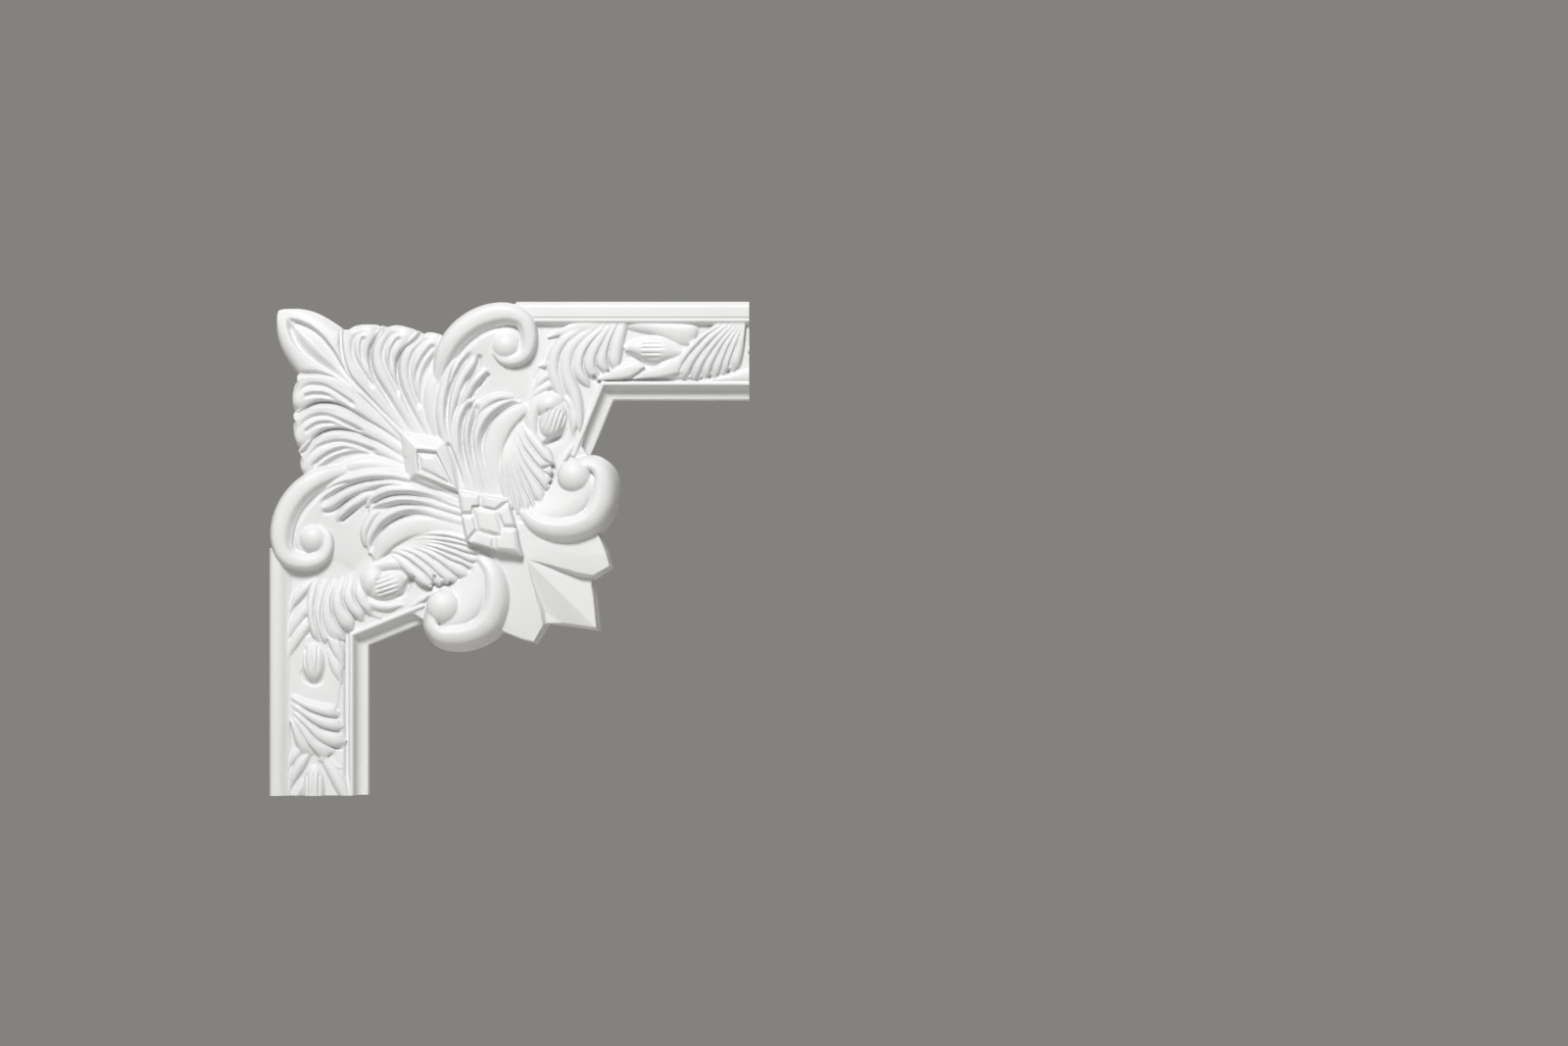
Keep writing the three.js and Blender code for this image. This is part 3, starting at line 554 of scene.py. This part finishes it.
print("lower scroll made")


# Petals below the lower clasp
petals = {
    "bed": [(152, 150), (154, 141), (200, 143), (204, 157), (196, 167.5), (196, 178), (186, 186)],
    "bedHeight": 11.5,
    "corner": [
        [(196, 170, 9.5), (199, 198.6, 15), (168.5, 194.3, 10)],
        [(157, 154.5, 18.4), (153, 153, 19.4), (154.5, 157, 18.4)]],
    "cornerSpread": 0.09,           # the share by which the foot is wider than the top
    "side": [
        [(200.5, 142, 16.5), (205, 153, 17), (207, 161, 16.8)],
        [(192, 139, 17.2), (195, 154, 17.8), (197, 166.8, 17)],
        [(172, 137, 18), (174, 151, 18.6), (180, 162.8, 18)],
        [(148, 134, 19), (151, 146, 19.2), (155, 156, 19)]],
    "sideSpread": 0.06,
    "sideEdge": [
        [(207, 160, 16.6), (196.5, 166.2, 16.8), (188, 165.2, 17.2), (178, 161.8, 17.8),
         (155, 155.7, 18.8)],
        [(209, 162.5, 4), (197.5, 169.8, 6), (188, 168.8, 8), (178, 165, 11), (156, 157, 16)]],
}
terrace("petalBed", [(petals["bed"], petals["bedHeight"])], "half")
sheet("cornerPetal", petals["corner"], "whole", spread=petals["cornerSpread"])
sheet("sidePetal", petals["side"], spread=petals["sideSpread"])
sheet("sidePetalEdge", petals["sideEdge"])
print("petals made")


# The kite clasp at the root of the palmette, and the lower clasp: its bed, a foot that fills the
# hollow beside the shell, and its cut blocks, each with a shoulder and a slightly smaller top
clasps = {
    "kite": [
        ([(80, 79.5), (108, 84), (117, 117), (84, 108)], 17.5),
        ([(89, 88.5), (103, 89.8), (114, 114), (89.8, 104.5)], 22.5),
        ([(90, 89.8), (102.3, 91), (112.5, 112.5), (91, 103.3)], 22.5),
        ([(90.6, 91.5), (101.6, 92.2), (111.3, 111.3), (91.6, 102.7)], 19.3),
        ([(94, 95.6), (100.6, 95.8), (108.4, 108.4), (94.4, 100.8)], 22)],
    "foot": [([(136, 112), (152, 112), (160, 128), (160, 142), (154, 152), (140, 140)], 18)],
    "bed": [([(114.5, 114.5), (146.5, 119.5), (156.5, 156.5), (119.5, 146.5)], 14),
            ([(116, 116), (145.5, 121), (154, 154), (121, 145.5)], 25.8)],
}
cutBlocks = {
    "shoulder": 26.4, "top": 28.4, "inset": 0.3,
    "head": [(116, 116), (129, 117.5), (129.3, 123.8), (124.3, 124.3), (123.8, 129.3), (117.5, 129)],
    "foot": [(142.6, 142.6), (143.3, 138), (151.3, 138), (153, 153), (138, 151.3), (138, 143.3)],
    "centre": [(125, 125), (139.3, 127.5), (143.3, 143.3), (127.5, 139.3)],
    "side": [(130, 117.7), (146, 121), (138.6, 126.8), (130.3, 124.8)],
    "lower": [(146.5, 122.5), (150.8, 137), (143.6, 137), (139.7, 127.8)],
}
for name, group in (("kite", "whole"), ("bed", "whole"), ("foot", "half")):
    terrace(name, clasps[name], group)
for name, group in (("head", "whole"), ("foot", "whole"), ("centre", "whole"), ("side", "half"),
                    ("lower", "half")):
    shape = cutBlocks[name]
    terrace(name + "Block", [(shape, cutBlocks["shoulder"]),
                             (drawnIn(shape, cutBlocks["inset"]), cutBlocks["top"])], group)
print("clasps made")


# The running leaves and buds of the top arm
topBand = {
    "blades": [
        ([(177, 60), (172, 53), (169.5, 46), (168.5, 40), (169.5, 34), (172, 28.5), (177, 22.5),
          (185, 17.5), (193, 13.5)],
         [(181.5, 59), (178.5, 50), (176.8, 44), (176.5, 38.4), (178, 30.4), (183, 23.4), (192, 17.4),
          (197, 13.5)]),
        ([(187.8, 78), (185.6, 72), (184.3, 65), (182.3, 58), (178.5, 50), (176.8, 44), (176.5, 38.4),
          (178, 30.4), (183, 23.4), (192, 17.4), (197, 13.5)],
         [(190, 78), (191.5, 71), (191, 64), (189.5, 56), (186.5, 48.4), (184.8, 39.4), (186.5, 31.4),
          (191, 24.4), (199.5, 17.4), (202, 13.5)])],
    "cornerFan": [
        [(190.5, 51.5), (186, 45), (184.8, 39.4), (186.5, 31.4), (191, 24.4), (199.5, 17.4), (202, 13.5)],
        [(196, 48), (192.2, 43), (191, 38.4), (192.5, 31.4), (197, 24.4), (204, 16.9), (206, 13.5)],
        [(202, 43), (198.8, 38.5), (199.5, 32.4), (203, 25.4), (208, 16.4), (210, 13.5)],
        [(208, 41), (206, 36), (206, 32.4), (207.5, 25.4), (211, 16.4), (212, 13.5)],
        [(213, 41), (214, 36), (214.5, 32), (215.5, 25.4), (217.5, 16.4), (218, 13.5)]],
    "leafFan": [
        [(246, 37), (252, 31), (256, 26), (262, 20.4), (269, 16.4), (273, 13.5)],
        [(249, 44), (253, 36), (258.5, 29), (266, 21.5), (275, 15.4), (277, 13.5)],
        [(255.5, 45), (258.5, 38), (263, 31.4), (270, 23.4), (279, 15.4), (280.5, 13.5)],
        [(262, 45.5), (264, 39), (268, 32.4), (274, 24.4), (282, 15.4), (283, 13.5)],
        [(268, 45), (270, 38.5), (273, 32.4), (277, 25.4), (284, 16.4), (285, 13.5)],
        [(274, 44), (276.5, 36.4), (280, 27.4), (286, 16.4), (286.7, 13.5)],
        [(279.5, 41), (281, 35), (283.5, 28.4), (287.5, 17.4), (288, 13.5)],
        [(286, 39.5), (288, 31), (289, 23.4), (289.6, 16.4), (289.8, 13.5)]],
    "bladeReach": 1.5, "cornerReach": 3.4, "leafReach": 3,
    "crest": [15.5, 17.8, 18.3, 18.3, 18, 17.5],
    "upperLeaf": [
        [(210, 12, 17.5), (234, 11, 18), (250, 11, 18.3), (266, 12, 18)],
        [(212, 15, 17), (234, 16.8, 17.8), (249, 20, 18.4), (262, 22, 17.6)],
        [(214, 18.5, 14), (236, 20.5, 15), (245, 28, 15.5), (257, 31, 14.5)]],
    "leaves": [
        ("round", [(160, 55), (165, 48.5), (171, 43)], [0.6, 2.6, 3], [14.8, 17, 17]),
        ("round", [(158, 60), (164, 54.5), (172, 50)], [0.6, 2.4, 3], [14.8, 17, 17]),
        ("round", [(155, 66), (162, 60), (170, 56)], [0.6, 2.4, 3], [14.8, 16.5, 17]),
        ("round", [(163.5, 39.5), (168, 38.5), (172, 36)], [0.5, 1.8, 2.4], [14.8, 17, 17.5]),
        ("pad", [(169, 22), (178, 18.3), (190, 15.3), (203, 14.3), (214, 14.3)], [0.5, 2.4, 3, 2.4, 0.8],
         [15.5, 17.2, 17.8, 17, 15]),
        ("pad", [(198, 47.6), (208, 45), (218, 42), (228.5, 39)], [0.5, 2.8, 4.6, 0.6],
         [15, 17, 17.5, 16.5]),
        ("pad", [(221, 47), (230, 44.2), (240, 41.5), (253, 36)], [0.6, 3, 5.2, 6.5], [15, 17, 17.6, 17]),
        ("pad", [(262, 48), (277, 47), (298, 43.5)], [0.5, 1.8, 5], [14.5, 15.2, 15.6]),
        ("round", [(216, 29), (221, 28), (229, 28.6), (236, 29), (244, 30), (254, 30.5)],
         [2, 6, 9, 9.2, 6.4, 1.2], [16, 18.5, 20, 20.5, 18.5, 16.5]),
        ("round", [(291, 30), (297, 29), (304, 29)], [1.5, 3.5, 6], [15.5, 17.5, 18.5])],
}
for left, right in topBand["blades"]:
    layBetween("blade", left, right, topBand["bladeReach"], topBand["crest"], "whole")
layFan(topBand["cornerFan"], topBand["crest"], topBand["cornerReach"])
layFan(topBand["leafFan"], topBand["crest"], topBand["leafReach"])
sheet("upperLeaf", topBand["upperLeaf"], "whole", rounds=2)
for kind, path, widths, crest in topBand["leaves"]:
    lay(kind, path, widths, crest, "whole")
print("top band made")


# The running leaves and buds of the side arm
sideBand = {
    "calyx": [(11, 212), (20, 204), (34, 203), (38, 218), (43, 234), (41, 247), (28, 247), (11, 240)],
    "calyxHeight": 14.6,
    "reach": 3,
    "cornerFan": [
        [(27, 204), (24.5, 195), (23, 184), (25, 174), (29, 164)],
        [(32, 207), (28.2, 195), (27.6, 184), (29.8, 172), (33, 162)],
        [(42, 207.5), (35.3, 202), (32, 193.3), (33, 182), (37, 172), (40, 162)],
        [(46.5, 201.8), (42, 196.2), (38.7, 189), (38, 180), (41.4, 172), (44, 162)],
        [(53.3, 195), (51, 191.3), (46.4, 185.6), (44.8, 179), (46.4, 172), (48.5, 162)],
        [(58.5, 189.8), (57, 187), (54.2, 184), (51.4, 177.8), (52, 172), (53, 162)],
        [(63.5, 188), (61.5, 184), (59, 178), (57.5, 172), (57.5, 164)]],
    "leafFan": [
        [(39, 246), (29.8, 245), (19.8, 242), (14, 238), (11.5, 234.5)],
        [(43, 254), (33, 252), (22, 247.8), (14, 242.3), (11.5, 239)],
        [(44, 262.3), (39.8, 261.5), (30.9, 259), (22, 253.3), (14, 247), (11.5, 243)],
        [(45.5, 272.5), (39.8, 271.7), (30.9, 267.8), (20.9, 257.8), (14, 250.5), (11.5, 246)],
        [(30, 277), (23, 269), (17.6, 260), (14, 253.8), (11.5, 249)],
        [(19, 271), (15.3, 263), (13.2, 257), (11.5, 252)]],
    "leafCrest": [15.5, 17.8, 18.3, 18, 17, 13.5],
    "cornerCrest": [15.5, 17.8, 18.3, 18, 16.5, 14.5, 12],
    "leaves": [
        ([(12.5, 188.7), (15.5, 182), (21, 175), (28, 168)], [0.5, 2.8, 3, 0.8], [14.8, 17, 16.8, 14]),
        ([(10.3, 206.7), (14.5, 197.5), (20, 189), (27, 180)], [0.5, 3.4, 4, 1], [14.8, 17, 17, 15.5]),
        ([(10.3, 219), (14.5, 209), (20, 200), (28, 190)], [0.5, 3.2, 4, 1], [14.8, 17, 17, 15.5]),
        ([(45.3, 222.5), (43, 216), (39, 208), (34, 200)], [0.6, 3.6, 4.4, 3], [15, 17, 17.5, 17]),
        ([(43.7, 232.5), (41.8, 226), (39, 219), (36, 212)], [0.6, 3.4, 3.4, 1], [14.8, 16.8, 17, 16]),
        ([(11.3, 284), (14.5, 278), (19, 272), (25, 266)], [0.5, 2.6, 3, 1], [14.8, 16.5, 16, 15]),
        ([(12, 297), (15, 288.5), (20, 280), (26, 272)], [0.5, 3.2, 3.6, 1], [14.8, 16.8, 17, 15]),
        ([(13, 307), (17, 299), (21, 291)], [1, 2.6, 1], [14.8, 16, 15]),
        ([(48, 306), (43, 294), (37, 284), (30, 275)], [2.6, 4.8, 4, 1], [15.5, 17, 16.5, 15]),
        ([(44, 284), (38, 281.5), (31, 277)], [0.6, 3, 3.4], [14.5, 15.5, 16])],
    "buds": [{"u": 27, "v": 219.5, "height": 12.5, "across": 7.2, "along": 12.2, "rise": 7.6},
             {"u": 27, "v": 297.5, "height": 12, "across": 7, "along": 16, "rise": 7.6}],
}
layFan(sideBand["cornerFan"], sideBand["cornerCrest"], sideBand["reach"])
layFan(sideBand["leafFan"], sideBand["leafCrest"], sideBand["reach"])
terrace("calyx", [(sideBand["calyx"], sideBand["calyxHeight"])])
for path, widths, crest in sideBand["leaves"]:
    lay("round", path, widths, crest, "whole")
for bud in sideBand["buds"]:
    mound(**bud, group="whole")
print("side band made")


# Everything becomes one casting: the drawn half is copied across the diagonal, then fused
casting = {
    "voxel": 0.00045,
    "smoothing": 4, "lastSmoothing": 2, "softness": 0.5,
    "faces": 190000,                # triangles that are kept
    "room": 100,                    # height of the box that the casting is cut to
    "sharpFrom": 50,                # angle between faces from which an edge stays sharp
}


def joinAll(pieces, name):
    bpy.ops.object.select_all(action="DESELECT")
    for piece in pieces:
        piece.select_set(True)
    bpy.context.view_layer.objects.active = pieces[0]
    bpy.ops.object.join()
    joined = bpy.context.object
    joined.name = name
    return joined


for master in masters.values():
    bpy.data.objects.remove(master)
half = joinAll(carved["half"], "drawnHalf")
diagonal = bpy.data.objects.new("diagonal", None)
bpy.context.scene.collection.objects.link(diagonal)
diagonal.rotation_euler = (0, 0, math.radians(45))
bpy.context.view_layer.update()
applyModifier(half, "MIRROR", use_axis=(True, False, False), mirror_object=diagonal, use_mirror_merge=False)
bpy.data.objects.remove(diagonal)
corner = joinAll([half] + carved["whole"], "cornerCarving")
print("joined", len(corner.data.polygons))
applyModifier(corner, "REMESH", mode="VOXEL", voxel_size=casting["voxel"])
print("fused", len(corner.data.polygons))
applyModifier(corner, "SMOOTH", factor=casting["softness"], iterations=casting["smoothing"])
print("smoothed")


# Grooves are cut as with a gouge: each lowers the surface beside its line, to the left and right widths
gouge = {
    "spread": 1.35,                 # the round gouge reaches past the listed widths
    "start": 0.08, "end": 0.4,      # shares of a stroke over which it grows deep and runs out
    "floor": 5.0, "rise": 4.0,      # nothing below the floor is cut, and all above the rise fully
    "steps": 6,                     # points of a stroke for each listed place
}


def carve(piece, strokes):
    places = np.empty(len(piece.data.vertices) * 3)
    piece.data.vertices.foreach_get("co", places)
    places = places.reshape(-1, 3)
    flat = np.stack([(places[:, 0] - leftEdge) / mm, (topEdge - places[:, 1]) / mm], axis=1)
    high = places[:, 2] / mm
    sunk = np.zeros(len(places))
    for path, (left, right), depth in strokes:
        points = np.array([tuple(p) for p in smoothPoints(path, gouge["steps"] * len(path))])
        wide = max(left, right)
        near = np.all((flat > points.min(0) - wide) & (flat < points.max(0) + wide), axis=1)
        chosen = np.nonzero(near & (high > gouge["floor"]))[0]
        best = np.full(len(chosen), 1e9)
        side = np.zeros(len(chosen))
        share = np.zeros(len(chosen))
        for k, (a, b) in enumerate(zip(points, points[1:])):
            way = b - a
            length = np.hypot(*way)
            rel = flat[chosen] - a
            t = np.clip(rel @ way / length ** 2, 0, 1)
            off = rel - t[:, None] * way
            gap = np.hypot(off[:, 0], off[:, 1])
            closer = gap < best
            best[closer] = gap[closer]
            side[closer] = (way[0] * rel[:, 1] - way[1] * rel[:, 0])[closer]
            share[closer] = ((k + t) / (len(points) - 1))[closer]
        width = np.where(side > 0, right, left) * gouge["spread"]
        ramp = np.clip(1 - best / width, 0, 1)
        fade = np.clip(share / gouge["start"], 0, 1) * np.clip((1 - share) / gouge["end"], 0, 1)
        sunk[chosen] = np.maximum(sunk[chosen], depth * ramp ** 2 * (3 - 2 * ramp) * fade)
    keep = np.clip((high - gouge["floor"]) / gouge["rise"], 0, 1)
    places[:, 2] -= sunk * keep * mm
    piece.data.vertices.foreach_set("co", places.ravel())
    piece.data.update()


strokes = {
    "half": [
        # arched grooves inside the lobes
        ([(64, 53), (57, 43), (52, 34), (51, 26), (53.5, 20.8), (58, 18.8), (61.5, 20)], (1.8, 1.8), 2.6),
        ([(58, 21), (56.5, 27), (57, 34), (60, 42)], (1.6, 1.6), 2.4),
        ([(80, 58), (73, 44), (69.5, 34), (71, 26), (75, 20.5), (80, 18.6), (84, 20)], (1.8, 1.8), 2.6),
        ([(80, 21.5), (75, 29), (74, 37), (76, 45)], (1.6, 1.6), 2.4),
        ([(92, 66), (87, 52), (85.5, 42), (88, 32), (93, 25.5), (98, 22.8), (102, 23.8)], (1.8, 1.8), 2.6),
        ([(100.5, 26), (93, 36), (89.5, 46), (90, 55)], (1.6, 1.6), 2.4),
        # valleys beside the tip leaf and between the lobes
        ([(44.5, 15), (44, 24), (46, 36), (50, 46), (58, 55), (70, 68), (83, 81)], (1, 2), 2.6),
        ([(70.5, 12), (67.5, 18.5), (61.5, 29), (63, 43), (72, 59), (88, 84)], (2.4, 1.2), 4),
        ([(95, 15), (90, 22), (79.5, 32), (78, 46), (84, 63), (97, 86)], (2.4, 1.2), 4),
        # the inner leaf of the tip leaf
        ([(11, 11.3), (16, 12.6), (23.5, 15.5), (30, 20.2), (35.3, 26.1), (40, 33), (43.5, 39), (50, 48),
          (62, 61)], (1.6, 5), 4),
        # between the acanthus blades
        ([(124, 31), (118, 38.5), (113, 47), (109.5, 59), (109, 74), (112, 90)], (1.4, 2.4), 3),
        ([(128.5, 32), (126.5, 40), (121, 47.5), (116.5, 57)], (1.8, 1.8), 3),
        ([(134, 43.5), (129, 49), (124, 55)], (1.8, 1.8), 2.6),
        ([(124, 61), (119, 71), (117.5, 82), (119.5, 97), (124, 110)], (1.4, 2.4), 3),
        ([(127.5, 62), (124.7, 73), (123.3, 84), (126, 102)], (1.4, 2.4), 3),
        ([(153, 61.5), (144, 65), (136, 71), (131.3, 79), (129.3, 88), (131, 100)], (1.4, 2.8), 3.2),
        # notches under the tips of the shell and the bud
        ([(166, 101.3), (170, 100.5), (174, 98)], (1.4, 1.4), 3),
        ([(166.5, 88), (171, 85), (177, 82), (180, 76)], (2.2, 2.2), 4.5),
        # the inside of the upper scroll, and the seam beside the kite clasp
        ([(109.5, 52), (112.5, 40), (118.5, 30), (127, 22), (137, 17), (146, 17)], (1.6, 1.6), 1.8),
        ([(108.5, 85.5), (113, 97), (118, 113)], (1.6, 1.6), 3),
        ([(109, 86.5), (113.5, 97), (118, 108)], (0.9, 0.9), 2.2),
        # reeds of the slanting bud
        ([(170, 65), (165.5, 77)], (0.8, 0.8), 1.3),
        ([(173, 64.5), (167.8, 79)], (0.8, 0.8), 1.4),
        ([(175.7, 65), (170.7, 80)], (0.8, 0.8), 1.4),
        ([(178, 66), (173.6, 80)], (0.8, 0.8), 1.4),
        ([(180, 68.5), (176.6, 79)], (0.8, 0.8), 1.3)],
    "whole": [
        # notches under the tips of the running leaves, and the folds round the buds
        ([(197.3, 44.5), (198.7, 48.5)], (1.2, 1.2), 3),
        ([(205.5, 41.5), (207.3, 44)], (1.2, 1.2), 3),
        ([(217, 32.6), (224, 35), (229, 38.5), (236, 39.4), (243, 37)], (1.2, 1.2), 1.6),
        ([(267.6, 44.5), (268.6, 47.5)], (1.2, 1.2), 2.6),
        ([(278.8, 41), (279.8, 44)], (1.2, 1.2), 2.6),
        ([(35, 205), (38, 214), (42, 221), (46, 223)], (0.9, 0.9), 1.6),
        ([(19, 224), (21, 230), (27, 233), (33, 230), (35, 222)], (2, 1.4), 1.2),
        # reeds of the straight buds
        ([(226, 26), (241, 26)], (0.7, 0.7), 1),
        ([(226, 28.6), (242, 28.6)], (0.7, 0.7), 1),
        ([(226, 31.6), (241, 31.6)], (0.7, 0.7), 1),
        ([(228, 34.2), (239, 34.2)], (0.7, 0.7), 1),
        ([(22.5, 210), (22, 219), (24, 226)], (0.8, 0.8), 1.4),
        ([(26, 209), (26, 219), (27, 228)], (0.8, 0.8), 1.4),
        ([(29.5, 209), (29.7, 219), (29.3, 227)], (0.8, 0.8), 1.4),
        ([(23.6, 287), (23.4, 305)], (0.8, 0.8), 1.4),
        ([(27, 286), (27, 305)], (0.8, 0.8), 1.4),
        ([(30.4, 287), (30.6, 305)], (0.8, 0.8), 1.4)],
}
drawn = strokes["half"] + valleys["half"]
mirrored = [(swapped(path), (right, left), depth) for path, (left, right), depth in drawn]
carve(corner, drawn + mirrored + strokes["whole"] + valleys["whole"])
applyModifier(corner, "SMOOTH", factor=casting["softness"], iterations=casting["lastSmoothing"])
print("grooves cut")


# The ends of both arms are cut square and the back flat, then the casting stands up on the wall
bpy.ops.mesh.primitive_cube_add(size=1)
limits = bpy.context.object
limits.scale = (topArmLength * mm, sideArmLength * mm, casting["room"] * mm)
limits.location = spot(topArmLength / 2, sideArmLength / 2, casting["room"] / 2)
bpy.ops.object.transform_apply(location=True, rotation=False, scale=True)
triangles = sum(len(face.vertices) - 2 for face in corner.data.polygons)
applyModifier(corner, "DECIMATE", ratio=casting["faces"] / triangles)
print("thinned", len(corner.data.polygons))
applyModifier(corner, "BOOLEAN", operation="INTERSECT", solver="MANIFOLD", object=limits)
bpy.data.objects.remove(limits)
corner.rotation_euler = (math.radians(90), 0, 0)
bpy.ops.object.transform_apply(location=False, rotation=True, scale=False)
bpy.ops.object.shade_smooth_by_angle(angle=math.radians(casting["sharpFrom"]))
print("cut and stood up", len(corner.data.polygons))


# Materials
class Value:                        # a socket that takes part in sums
    def __init__(self, tree, socket):
        self.tree = tree
        self.socket = socket

    def combine(self, operation, first, second):
        node = self.tree.nodes.new("ShaderNodeMath")
        node.operation = operation
        plug(self.tree, first, node.inputs[0])
        plug(self.tree, second, node.inputs[1])
        return Value(self.tree, node.outputs[0])

    def __add__(self, other):
        return self.combine("ADD", self, other)

    def __radd__(self, other):
        return self.combine("ADD", other, self)

    def __sub__(self, other):
        return self.combine("SUBTRACT", self, other)

    def __rsub__(self, other):
        return self.combine("SUBTRACT", other, self)

    def __mul__(self, other):
        return self.combine("MULTIPLY", self, other)

    def __rmul__(self, other):
        return self.combine("MULTIPLY", other, self)


def plug(tree, value, socket):      # a link from a socket, or a constant
    if isinstance(value, Value):
        tree.links.new(value.socket, socket)
    else:
        socket.default_value = value


class Finish:                       # a material and the nodes that make it
    def __init__(self, name):
        self.material = bpy.data.materials.new(name)
        self.material.use_nodes = True
        self.tree = self.material.node_tree
        self.shader = self.tree.nodes["Principled BSDF"]

    def node(self, kind, settings=None, output=0, **inputs):
        made = self.tree.nodes.new("ShaderNode" + kind)
        for key, value in (settings or {}).items():
            if key == "stops":
                for element, (place, colour) in zip(made.color_ramp.elements, value):
                    element.position = place
                    element.color = (*colour, 1)
            else:
                setattr(made, key, value)
        for key, value in inputs.items():
            plug(self.tree, value, made.inputs[key])
        return Value(self.tree, made.outputs[output])

    def drive(self, name, value):
        plug(self.tree, value, self.shader.inputs[name])


foam = {
    "dull": (0.655, 0.66, 0.665), "bright": (0.70, 0.705, 0.71), "dullTo": 0.3, "brightFrom": 0.62,
    "cloudScale": 9.0, "grainScale": 900.0, "pitScale": 260.0, "cloudShare": 0.75, "grainShare": 0.4,
    "roughness": 0.5, "roughnessSpread": 0.12, "specular": 0.35, "bump": 0.12, "bumpDepth": 0.0004,
}


def makeFoam():
    finish = Finish("whiteFoam")
    place = finish.node("TexCoord", output="Object")
    cloud = finish.node("TexNoise", Vector=place, Scale=foam["cloudScale"], Detail=3.0, Roughness=0.55)
    grain = finish.node("TexNoise", Vector=place, Scale=foam["grainScale"], Detail=2.0, Roughness=0.6)
    pits = finish.node("TexNoise", Vector=place, Scale=foam["pitScale"], Detail=4.0, Roughness=0.6)
    stops = [(foam["dullTo"], foam["dull"]), (foam["brightFrom"], foam["bright"])]
    mottle = cloud * foam["cloudShare"] + pits * (1 - foam["cloudShare"])
    finish.drive("Base Color", finish.node("ValToRGB", {"stops": stops}, Fac=mottle))
    smoothest = foam["roughness"] - 0.5 * foam["roughnessSpread"]
    finish.drive("Roughness", smoothest + foam["roughnessSpread"] * cloud)
    surface = grain * foam["grainShare"] + pits * (1 - foam["grainShare"])
    bump = finish.node("Bump", Strength=foam["bump"], Distance=foam["bumpDepth"], Height=surface)
    finish.drive("Normal", bump)
    finish.drive("Specular IOR Level", foam["specular"])
    return finish.material


corner.data.materials.clear()
corner.data.materials.append(makeFoam())
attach(corner, "root")
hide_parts("panel_moulding_corner")
print("casting finished")


# Studio: a plain pale floor below and behind, soft lamps and the photograph's straight view
studio = {
    "lens": 93.75, "nearest": 0.05, "distance": 2.5, "centre": (0.1792, -0.0007),
    "floorMiddle": (0.1, -1.6, -0.75), "floorSize": 6.0, "floorScale": 3.0, "floorRoughness": 0.8,
    "floorStops": [(0.3, (0.62, 0.61, 0.59)), (0.7, (0.66, 0.65, 0.63))],
    "air": (0.231, 0.223, 0.209), "airStrength": 1.0,
    "lampTarget": (0.01, 0, -0.01),
    "lamps": [                      # name, place, size and power
        ("keyLamp", (-0.2, -1.95, 1.65), 0.7, 68),
        ("fillLamp", (0.4, -2.8, 0.5), 2.4, 2),
        ("backLamp", (0.5, 2.0, 1.8), 1.6, 18)],
}


def makeFloor():
    finish = Finish("paleFloor")
    place = finish.node("TexCoord", output="Object")
    cloud = finish.node("TexNoise", Vector=place, Scale=studio["floorScale"], Detail=2.0)
    finish.drive("Base Color", finish.node("ValToRGB", {"stops": studio["floorStops"]}, Fac=cloud))
    finish.drive("Roughness", studio["floorRoughness"])
    bpy.ops.mesh.primitive_plane_add(size=studio["floorSize"], location=(0, 0, 0))
    floor = bpy.context.object
    floor.name = "floor"
    floor.location = studio["floorMiddle"]
    bpy.ops.object.transform_apply(location=True)
    floor.data.materials.append(finish.material)


def addLamp(name, place, size, power):
    data = bpy.data.lights.new(name, "AREA")
    data.shape = "DISK"
    data.size = size
    data.energy = power
    lamp = bpy.data.objects.new(name, data)
    lamp.location = place
    lamp.rotation_euler = (Vector(studio["lampTarget"]) - Vector(place)).to_track_quat("-Z", "Y").to_euler()
    bpy.context.scene.collection.objects.link(lamp)


makeFloor()
for lamp in studio["lamps"]:
    addLamp(*lamp)
world = bpy.data.worlds.new("studioAir")
world.use_nodes = True
world.node_tree.nodes["Background"].inputs["Color"].default_value = (*studio["air"], 1)
world.node_tree.nodes["Background"].inputs["Strength"].default_value = studio["airStrength"]
bpy.context.scene.world = world
bpy.context.scene.view_settings.view_transform = "Standard"
cameraData = bpy.data.cameras.new("camera")
cameraData.lens = studio["lens"]
cameraData.clip_start = studio["nearest"]
camera = bpy.data.objects.new("camera", cameraData)
camera.location = (studio["centre"][0], -studio["distance"], studio["centre"][1])
camera.rotation_euler = (math.radians(90), 0, 0)
bpy.context.scene.collection.objects.link(camera)
bpy.context.scene.camera = camera
print("studio made")
